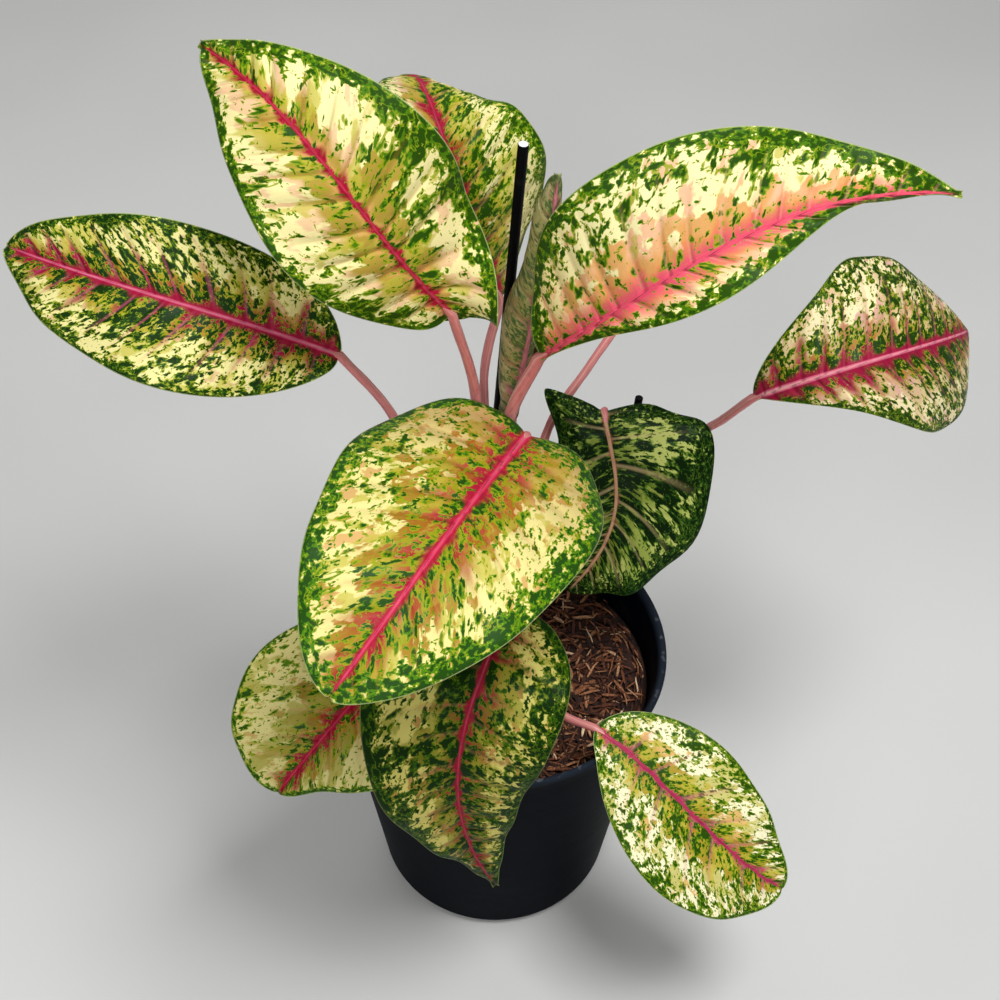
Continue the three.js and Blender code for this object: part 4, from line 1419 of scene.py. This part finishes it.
@dataclass
class Petiole:
    """A leaf stalk: a broad sheath round the cane, then a slim grooved stalk that runs on into
    the underside of the midrib."""

    name: str
    shape: LeafShape
    radius: float
    skin: StalkSkin = StalkSkin()
    sheath_radius: float = 4.2
    sheath_share: float = 0.4
    sides: int = 20
    step: float = 3.0
    run_on: float = 7.0  # mm that it runs on under the blade

    TIP_SHARE = 0.81  # of the radius
    SET_BACK = 0.45  # mm between its end and the blade's joint
    GROOVE_WIDTH = 0.42  # in radians

    def course(self) -> np.ndarray:
        """Even points along the stalk's centripetal curve."""
        midrib = Midrib(self.shape.rib)
        joint, ahead = midrib.at(np.array([0.0]))
        points = np.array([*self.shape.petiole, joint[0] - self.SET_BACK * ahead[0]], float)
        wide = np.concatenate(
            [[2 * points[0] - points[1]], points, [2 * points[-1] - points[-2]]]
        )
        line = []
        for a, b, c, d in zip(wide, wide[1:], wide[2:], wide[3:]):
            before, here, after = (math.sqrt(math.dist(p, q)) for p, q in ((a, b), (b, c), (c, d)))
            one = ((b - a) / before - (c - a) / (before + here) + (c - b) / here) * here
            two = ((c - b) / here - (d - b) / (here + after) + (d - c) / after) * here
            f = np.linspace(0, 1, 40, endpoint=False)[:, None]
            square, cube = -3 * b + 3 * c - 2 * one - two, 2 * b - 2 * c + one + two
            line.append(b + f * (one + f * (square + f * cube)))
        line = np.concatenate([*line, points[-1:]])
        lengths = np.concatenate([[0], np.cumsum(np.linalg.norm(np.diff(line, axis=0), axis=1))])
        even = np.linspace(0, lengths[-1], round(lengths[-1] / self.step) + 1)
        return np.stack([np.interp(even, lengths, line[:, k]) for k in range(3)], -1)

    def build(self) -> bpy.types.Object:
        """Sweeps the stalk's section along its course."""
        path = self.course()
        midrib = Midrib(self.shape.rib)
        share = np.linspace(0, 1, len(path))
        tip_radius = self.radius * self.TIP_SHARE
        radius = self.radius + (tip_radius - self.radius) * share
        radius += (self.sheath_radius - self.radius) * (1 - smooth(0, self.sheath_share, share))
        # It runs on inside the midrib's keel, growing thinner.
        extra = np.linspace(0, 1, 5)[1:]
        on, _ = midrib.at(extra * self.run_on / midrib.length)
        normal = unit(np.array(self.shape.face[0], float))
        path = np.concatenate([path, on - normal * 0.5])
        radius = np.concatenate([radius, tip_radius * (1 - 0.6 * extra)])

        ahead = unit(np.gradient(path, axis=0))
        share = np.linspace(0, 1, len(path))
        # The groove looks in to the cane low down, and to the blade's upper side at the top.
        inward = np.concatenate([-path[:, :2], 0 * path[:, :1]], 1)
        up = inward * (1 - smooth(0.4, 1, share))[:, None]
        up = unit(up + np.array([0, 0, 1.0])) + normal * smooth(0.5, 1, share)[:, None] * 2
        groove = unit(up - (up * ahead).sum(-1, keepdims=True) * ahead)
        aside = np.cross(ahead, groove)
        turn = np.arange(self.sides) * TURN / self.sides
        depth = 0.1 + 0.22 * (1 - smooth(0, self.sheath_share, share))
        off = np.minimum(turn, TURN - turn) / self.GROOVE_WIDTH
        dent = 1 - depth[:, None] * np.exp(-(off**2))
        cosine, sine = np.cos(turn)[None, :, None], np.sin(turn)[None, :, None]
        around = cosine * groove[:, None] + sine * aside[:, None]
        points = path[:, None] + around * (radius[:, None] * dent)[..., None]
        points += around * (0.12 * lumps(points, 14, 31))[..., None]
        faces = tube_faces(len(path), self.sides)
        node = f"petiole_{self.name}"
        material = self.skin.dress(f"stalk_skin_{self.name}")
        points = points.reshape(-1, 3)
        piece = mesh_object(node, points, faces, [material], Slot.PETIOLE, (node,))
        lengths = np.concatenate([[0], np.cumsum(np.linalg.norm(np.diff(path, axis=0), axis=1))])
        seed = sum(map(ord, self.name)) % 17
        places = np.broadcast_arrays(lengths[:, None], turn[None] / TURN, float(seed))
        measure(piece, Channel.STALK, np.stack(places, -1).reshape(-1, 3))
        return piece


@dataclass
class Leaf:
    """A leaf: its stalk and its blade."""

    name: str
    shape: LeafShape
    skin: LeafSkin
    slot: Slot = Slot.LEAF
    fit: dict = field(default_factory=dict)  # the blade's own sizes, where they differ
    stalk_radius: float = 2.1

    def build(self) -> None:
        """Makes both pieces."""
        Petiole(self.name, self.shape, self.stalk_radius).build()
        Blade(self.name, self.shape, self.skin, self.slot, **self.fit).build()


EVEN_FOLD = ((0, 10, 0), (0.5, 8, -25), (1, 10, 0))
LEAVES = (
    Leaf(
        "lower_right",
        LeafShape(
            rib=((42, -48, 154), (68, -66, 143), (94, -82, 123), (123, -90, 98)),
            face=((0.1, -0.6, 0.8), (0.1, -0.7, 0.7), (0.3, -0.8, 0.5)), left=(25, 29, 29, 23, 15),
            right=(16, 26, 33, 34, 30), fold_left=((0, 12, 0), (0.5, 8, -25), (1, 10, 0)),
            fold_right=((0, 40, 0), (0.35, 14, -20), (1, 10, 0)), wave=(1.5, 2, 0.2),
            petiole=((2, -2, 138), (14, -20, 149), (28, -38, 150)),
        ),
        LeafSkin(
            seed=1, cream="#FBF4CC", drawn=1.2, flecks=0.015, flecks_by_edge=0.07, fleck_size=2.7,
            band=(1.6, 1.4), halo_reach=6, halo_over=2.5, halo_taper=0.6, halo="#B5385C",
            rib="#A81C4C", vein="#C8687E", vein_share=0.4,
        ),
        fit={"vein_step": 15.0, "ruffle": (1.1, 4.0), "rib_radius": (1.0, 0.4)},
    ),
    Leaf(
        "lower_left",
        LeafShape(
            rib=((-37, -36, 194), (-56, -56, 184), (-71, -72, 175), (-88, -80, 152)),
            face=((0, -0.4, 0.9), (0, -0.7, 0.7), (-0.2, -0.9, 0.3)), left=(72, 57, 39, 19, 3),
            right=(49, 45, 42, 41, 40), fold_left=EVEN_FOLD, fold_right=EVEN_FOLD,
            wave=(2, 2, 0.2), petiole=((-2, -2, 150), (-15, -16, 184), (-27, -28, 197)),
        ),
        LeafSkin(
            seed=2, cream="#DDD38A", blush="#C4A45E", ochre="#8E7622", wash="#A29C3A", drawn=1.3,
            flecks=-0.05, flecks_by_rib=0.1, flecks_by_edge=0.075, band=(2.6, 2.0), halo_reach=12,
            halo_over=5,
        ),
        fit={"rib_radius": (1.1, 0.4), "vein_step": 11.0, "pleat": 1.3, "ruffle": (1.0, 4.0)},
    ),
    Leaf(
        "lower_front",
        LeafShape(
            rib=((4, -46, 228), (-8, -86, 227), (-14, -100, 183), (1, -88, 95)),
            face=((0, -0.5, 0.85), (0.1, -0.8, 0.6), (0, -0.95, 0.3)), left=(63, 46, 28, 13, 2),
            right=(79, 56, 31, 10, 2), fold_left=EVEN_FOLD, fold_right=EVEN_FOLD, wave=(2, 2, 0.2),
            petiole=((0, -2, 158), (3, -20, 200), (4, -34, 221)),
        ),
        # Its colours are darkened all over as painted shade, for the shadow of the front leaf
        # above it.
        LeafSkin(
            seed=3, cream="#C6BC66", blush="#A88244", ochre="#625C14", wash="#86862A",
            lime="#5C6C10", green="#2C4E08", deep="#112A06", flush="#7E5420", drawn=1.1,
            flecks=0.02, flecks_by_rib=0.08, flecks_by_edge=0.1, fleck_size=4.4, band=(4.2, 5.5),
            halo_edge=(0.2, 1.3), shine=0.04, vein_share=0.12, halo_taper=0.25, halo_reach=16,
            halo_over=4, halo="#86172A", rib="#951834", edge="#8E9C58",
        ),
        fit={"rib_radius": (0.85, 0.3), "vein_step": 13.0, "pleat": 1.1, "ruffle": (0.9, 6.0)},
    ),
    Leaf(
        "right_turned",
        LeafShape(
            rib=((43, 38, 255), (47, 20, 242), (47, 8, 219), (30, 2, 184)),
            face=((0, -0.5, 0.85), (0, -0.7, 0.7), (-0.2, -0.95, 0.2)), left=(66, 54, 38, 23, 9),
            right=(110, 30, 31, 20, 9), fold_left=((0, 0, 0), (0.5, 5, -30), (1, 10, 0)),
            fold_right=((0, 10, 20), (0.5, 8, -30), (1, 10, 0)), lobes=(0.05, 0.14),
            wave=(2.5, 3, 0), petiole=((2, 2, 165), (14, 24, 200), (28, 40, 230), (38, 43, 243)),
        ),
        # Its colours are darkened all over as painted shade, for the shade that the leaves above
        # cast on it.
        LeafSkin(
            seed=4, cream="#B4BC66", blush="#9E9450", ochre="#5E6A26", wash="#87983E",
            lime="#56721E", green="#1F3F10", deep="#0C2006", flush="#8A7A3E", halo="#8F5A44",
            rib="#B98A6A", rib_highlight="#CDB088", vein="#BFA878", edge="#3C5A2C", flecks=0.09,
            flecks_by_rib=0.02, flecks_by_edge=0.02, fleck_size=2.3, band=(6.0, 4.0), shine=0.05,
            halo_reach=4, halo_over=2, vein_share=0.5, drawn=3.4, rib_highlight_share=0.3,
        ),
        slot=Slot.LEAF_DARK,
        fit={"vein_step": 12.0, "pleat": 1.2, "ruffle": (2.0, 5.0), "rib_radius": (1.0, 0.5)},
    ),
    Leaf(
        "far_right",
        LeafShape(
            rib=((98, 15, 285), (129, 2, 313), (164, 22, 308), (187, 52, 289)),
            face=((-0.2, -0.7, 0.7), (0.1, -0.65, 0.8), (0.7, -0.2, 0.6)),
            left=(4, 22, 42, 52, 56), right=(2, 8, 27, 48, 58),
            fold_left=((0, 26, 0), (0.5, -10, -20), (1, -4, -30)),
            fold_right=((0, 6, 0), (0.5, -16, -20), (1, -4, -30)), wave=(1, 2, 0.4),
            petiole=((2, 0, 172), (29, 28, 202), (57, 48, 222), (84, 39, 244)),
        ),
        LeafSkin(
            seed=5, cream="#F3E4B4", blush="#D9A898", ochre="#A07A44", wash="#D9BC8C",
            flecks=0.015, green="#3C5F0C", deep="#1E3A08", flecks_by_rib=0.11, flecks_by_edge=0.07,
            fleck_size=2.7, band=(2.4, 2.4), halo_reach=20, halo_over=9, halo="#98183A",
            rib="#CC5A78", rib_highlight="#EFA9A8", rib_highlight_share=0.7, blush_share=0.05, vein="#B05C68",
            vein_share=0.55,
        ),
        fit={"vein_step": 9.0, "pleat": 1.2, "ruffle": (0.9, 3.5), "rib_radius": (1.6, 0.45)},
    ),
    Leaf(
        "left",
        LeafShape(
            rib=((-58, -5, 322), (-93, -14, 346), (-130, -12, 359), (-172, 6, 361)),
            face=((0, -0.6, 0.8), (0, -0.7, 0.7), (-0.3, -0.6, 0.7)), left=(17, 27, 30, 25, 13),
            right=(15, 27, 27, 22, 17), fold_left=((0, 10, 0), (0.5, 8, -20), (1, 10, 0)),
            fold_right=((0, 20, 10), (0.5, 20, -20), (1, 20, 0)), wave=(2, 2, 0.1),
            petiole=((-2, 0, 176), (-23, 3, 232), (-42, 2, 289)),
        ),
        LeafSkin(
            seed=6, cream="#EDE49A", blush="#DDBC8C", drawn=1.4, flecks=0.02, flecks_by_rib=0.09,
            flecks_by_edge=0.06, fleck_size=2.6, band=(2.2, 2.6), halo_reach=18, halo_over=6,
            halo="#9C1638", rib="#C43A62", rib_highlight="#E493A0", vein="#B4466A", vein_share=0.6,
            rib_highlight_share=0.6, green="#345A0E", deep="#17330A",
        ),
        fit={"vein_step": 11.0, "pleat": 0.9, "ruffle": (1.9, 3.5), "rib_radius": (1.2, 0.4)},
    ),
    Leaf(
        "back_right",
        LeafShape(
            rib=((46, 62, 277), (60, 88, 292), (76, 110, 296), (92, 128, 288)),
            face=((-0.2, -0.3, 0.9), (0, -0.1, 0.95), (0.2, 0.3, 0.8)), left=(28, 29, 29, 26, 12),
            right=(28, 29, 29, 26, 12), fold_left=((0, 14, 0), (0.5, 10, -15), (1, 10, 0)),
            fold_right=((0, 14, 0), (0.5, 10, -15), (1, 10, 0)), wave=(1.5, 2, 0.2),
            petiole=((1, 2, 184), (14, 26, 220), (21, 42, 243), (36, 54, 264)),
        ),
        LeafSkin(seed=7, flecks=0.02, band=(2.4, 2.8)),
        fit={"rib_radius": (1.2, 0.45)},
    ),
    Leaf(
        "front",
        LeafShape(
            rib=((10, -24, 301), (-11, -74, 314), (-31, -112, 313), (-53, -136, 293)),
            face=((0.1, -0.3, 0.95), (0, -0.5, 0.85), (-0.1, -0.8, 0.5)),
            left=(62, 52, 42, 32, 18), right=(66, 56, 46, 38, 27),
            fold_left=((0, 5, -20), (0.5, 8, -30), (1, 10, 0)),
            fold_right=((0, 5, -20), (0.5, 8, -30), (1, 10, 0)), lobes=(0.1, 0.1),
            wave=(2, 2, 0.2), petiole=((1, -2, 190), (8, -15, 240), (12, -17, 284)),
        ),
        LeafSkin(
            seed=8, cream="#EDE294", blush="#D8AE6C", ochre="#A27E1C", flecks=-0.03,
            flecks_by_rib=0.1, flecks_by_edge=0.07, fleck_size=4, band=(8.5, 6.0), halo_reach=20,
            halo_over=6, halo="#A81C34", rib="#CC2450", green="#4E8010", deep="#244A10",
            flush="#A05C1C", flush_at_base=0.7, halo_taper=0.4, halo_edge=(0.25, 1.1),
            halo_between=0.6, ochre_share=0.1, blush_share=0.03, drawn=1.25, lime_by_rib=0.06,
            vein="#B4683C", rib_highlight_share=0.25,
        ),
        fit={"vein_step": 14.0, "pleat": 1.2, "ruffle": (1.1, 4.5), "rib_radius": (1.8, 0.5)},
    ),
    Leaf(
        "upper_back",
        LeafShape(
            rib=((0, 25, 324), (-13, 19, 372), (-24, 33, 401), (-34, 72, 389)),
            face=((0.2, -0.85, 0.45), (0.25, -0.8, 0.75), (0.15, -0.1, 0.95)),
            left=(50, 42, 30, 18, 8), right=(50, 44, 35, 22, 10),
            fold_left=((0, 10, 0), (0.5, 10, -15), (1, -5, -30)),
            fold_right=((0, -40, 0), (0.5, -4, -15), (1, 0, -30)), wave=(1, 2, 0.3),
            petiole=((0, 2, 196), (-3, 14, 240), (-6, 24, 288)),
        ),
        LeafSkin(
            seed=9, cream="#EBE2A0", blush="#E2BA94", flecks_by_edge=0.06,
            fleck_size=3.1, band=(2.4, 5.0), rib="#A8163A", halo_reach=9, halo_over=5,
        ),
        fit={"vein_step": 12.0, "rib_radius": (1.2, 0.4), "pleat": 0.9},
    ),
    Leaf(
        "upper_left",
        LeafShape(
            rib=((-17, -10, 346), (-41, -22, 392), (-65, -14, 424), (-98, 22, 431)),
            face=((0.2, -0.7, 0.7), (0.1, -0.75, 0.65), (0, -0.8, 0.6)), left=(28, 30, 31, 18, -5),
            right=(32, 31, 34, 16, 1), fold_left=((0, -40, 10), (0.5, -3, -15), (1, 13, 0)),
            fold_right=((0, 0, 40), (0.16, 20, 95), (0.4, 10, -15), (1, 10, 0)),
            lobes=(0.02, 0.13), wave=(1.5, 2.5, 0),
            petiole=((-1, -1, 202), (-7, -3, 250), (-9, -4, 305)),
        ),
        LeafSkin(
            seed=10, cream="#F5EAA6", blush="#EDC696", drawn=2.0, flecks=-0.03, flecks_by_rib=0.03,
            flecks_by_edge=0.09, fleck_size=4.0, band=(3.6, 5.0), rib="#B4163A", vein="#94702A",
            vein_share=0.6, halo_reach=5, halo_over=2.5, blush_share=0.02, ochre_share=-0.06,
            wash_share=-0.06, flush="#DCA060",
        ),
        fit={"vein_step": 11.0, "pleat": 1.8, "ruffle": (1.2, 4.0), "rib_radius": (1.0, 0.3)},
        stalk_radius=2.3,
    ),
    Leaf(
        "upper_right",
        LeafShape(
            rib=((14, -14, 330), (51, -34, 380), (94, -26, 402), (147, -16, 403)),
            face=((-0.45, -0.9, 0.15), (-0.2, -0.9, 0.35), (0.3, -0.5, 0.8)),
            left=(18, 40, 39, 18, 1), right=(4, 5, 15, 0, 0),
            fold_left=((0, 8, 0), (0.3, 4, -10), (0.5, 13, -15), (1, 21, 0)),
            fold_right=((0, 50, 10), (0.5, 13, 0), (1, 24, 0)), lobes=(-0.04, 0), wave=(2, 2.5, 0),
            petiole=((1, -1, 206), (1, -7, 255), (4, -12, 300)),
        ),
        LeafSkin(
            seed=11, cream="#F6EFB0", blush="#F2BE95", ochre="#DDA45C", flecks=-0.03,
            flecks_by_rib=0.0, flecks_by_edge=0.085, fleck_size=4.0, band=(6.0, 5.0), halo_reach=9,
            halo_over=2, halo_edge=(0.1, 1.7), halo_between=0.75, flush="#E59A50",
            flush_at_base=0.4, halo="#E4566C", rib="#E04A66", rib_highlight="#EE8480", blush_share=0.03,
            wash_share=-0.1, vein="#EAA58C",
        ),
        fit={"vein_step": 10.0, "pleat": 1.6, "ruffle": (1.7, 4.5), "rib_radius": (1.7, 0.45)},
        stalk_radius=2.9,
    ),
    Leaf(
        "young",
        LeafShape(
            rib=((5, -2, 287), (10, -9, 334), (15, -13, 373), (18, -10, 405)),
            face=((-0.2, 0.9, 0), (-0.1, 1, 0.1), (0.1, 0.9, 0.3)), left=(12, 14, 14, 9, 6),
            right=(34, 38, 47, 22, 8),
            fold_left=((0, 10, 20), (0.25, 10, 150), (0.55, 10, 180), (0.8, 10, 100), (1, 10, 40)),
            fold_right=(
                (0, 10, 30), (0.2, 10, 225), (0.42, 5, 320), (0.6, 5, 280), (0.8, 5, 110),
                (1, 10, 30),
            ),
            petiole=((0, 0, 205), (0, 2, 240), (0, 3, 270)),
        ),
        LeafSkin(
            seed=12, cream="#C4B186", blush="#C49C82", wash="#8C8450", ochre="#7C6F3C",
            flush="#8C6F4A", lime="#85803E", green="#5C5C2E", deep="#46481E", halo="#A8705F",
            rib="#B98A74", rib_highlight="#D7B79C", vein="#A98C66", edge="#55602C", flecks=0.02,
            fleck_size=2.7, halo_reach=5, halo_over=2,
        ),
        slot=Slot.LEAF_ROLLED,
        fit={"pleat": 0.15, "ruffle": (0.0, 1.0), "rib_radius": (1.3, 0.5)},
    ),
)


# ---------------------------------------------------------------- studio


@dataclass
class Studio:
    """A plain pale floor, soft light and the camera."""

    eye: Row = (0.7, -439, 706)
    pitch: float = 46.6
    roll: float = 0.7
    lens: float = 57.6
    floor_half: float = 3.0
    floor_lines: int = 25
    sky: str = "#F2F3F5"
    sky_strength: float = 0.2
    aim: Row = (0, 0, 0.25)  # where the lamps look, in metres

    def build(self) -> None:
        """Makes the floor, the lights and the camera."""
        lines = self.floor_lines
        reach = np.linspace(-self.floor_half, self.floor_half, lines)
        x, y = np.meshgrid(reach, reach, indexing="ij")
        mesh = bpy.data.meshes.new("floor")
        points = np.stack([y, x, 0 * x], -1).reshape(-1, 3)
        mesh.from_pydata(points.tolist(), [], grid_quads(lines, lines).tolist())
        mesh.materials.append(MattPaint().dress("matt_paint"))
        floor = bpy.data.objects.new("floor", mesh)
        bpy.context.scene.collection.objects.link(floor)
        floor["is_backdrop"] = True
        self.light("key", (0.35, -0.35, 1.6), 0.5, 17)
        self.light("front", (-0.2, -1.2, 0.9), 0.8, 7)
        self.light("rim", (-0.2, 1.0, 1.2), 1.0, 4)
        world = bpy.data.worlds.new("studio")
        world.use_nodes = True
        sky = world.node_tree.nodes["Background"].inputs
        sky["Color"].default_value = linear(self.sky)
        sky["Strength"].default_value = self.sky_strength
        bpy.context.scene.world = world
        bpy.context.scene.view_settings.view_transform = "Standard"

        pitch, roll = math.radians(self.pitch), math.radians(self.roll)
        ahead = Vector((0, math.cos(pitch), -math.sin(pitch)))
        level = Vector((1, 0, 0))
        upright = level.cross(ahead)
        right = level * math.cos(roll) + upright * math.sin(roll)
        above = upright * math.cos(roll) - level * math.sin(roll)
        camera = bpy.data.objects.new("camera", bpy.data.cameras.new("camera"))
        camera.data.lens = self.lens
        turn = Matrix((right, above, -ahead)).transposed().to_4x4()
        camera.matrix_world = Matrix.Translation(Vector(self.eye) * MM) @ turn
        bpy.context.scene.collection.objects.link(camera)
        bpy.context.scene.camera = camera

    def light(self, name: str, place: Row, size: float, power: float) -> None:
        """Adds a square soft light that looks at the plant.

        Args:
            name: Its name.
            place: Where it stands, in metres.
            size: Its side, in metres.
            power: In watts.
        """
        lamp = bpy.data.lights.new(name, "AREA")
        lamp.size, lamp.energy = size, power
        stand = bpy.data.objects.new(name, lamp)
        stand.location = place
        look = Vector(self.aim) - stand.location
        stand.rotation_euler = look.to_track_quat("-Z", "Y").to_euler()
        bpy.context.scene.collection.objects.link(stand)


def main() -> None:
    """Builds the object and the studio."""
    logging.basicConfig(level=logging.INFO, format="%(name)s: %(message)s")
    pot = NurseryPot()
    pot.build()
    Compost(pot).build()
    Cane().build()
    Stake("stake_tall", (-11, 22, 98), (7, 8, 404), 1.9, core="#E4E6E8").build()
    Stake("stake_short", (46, 42, 104), (58, 49, 253), 1.7).build()
    for leaf in LEAVES:
        leaf.build()
    Studio().build()
    sizes = {"cad": CAD_BOX, "visual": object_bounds()}
    {key: [list(corner) for corner in box] for key, box in sizes.items()}


if __name__ == "__main__":
    main()
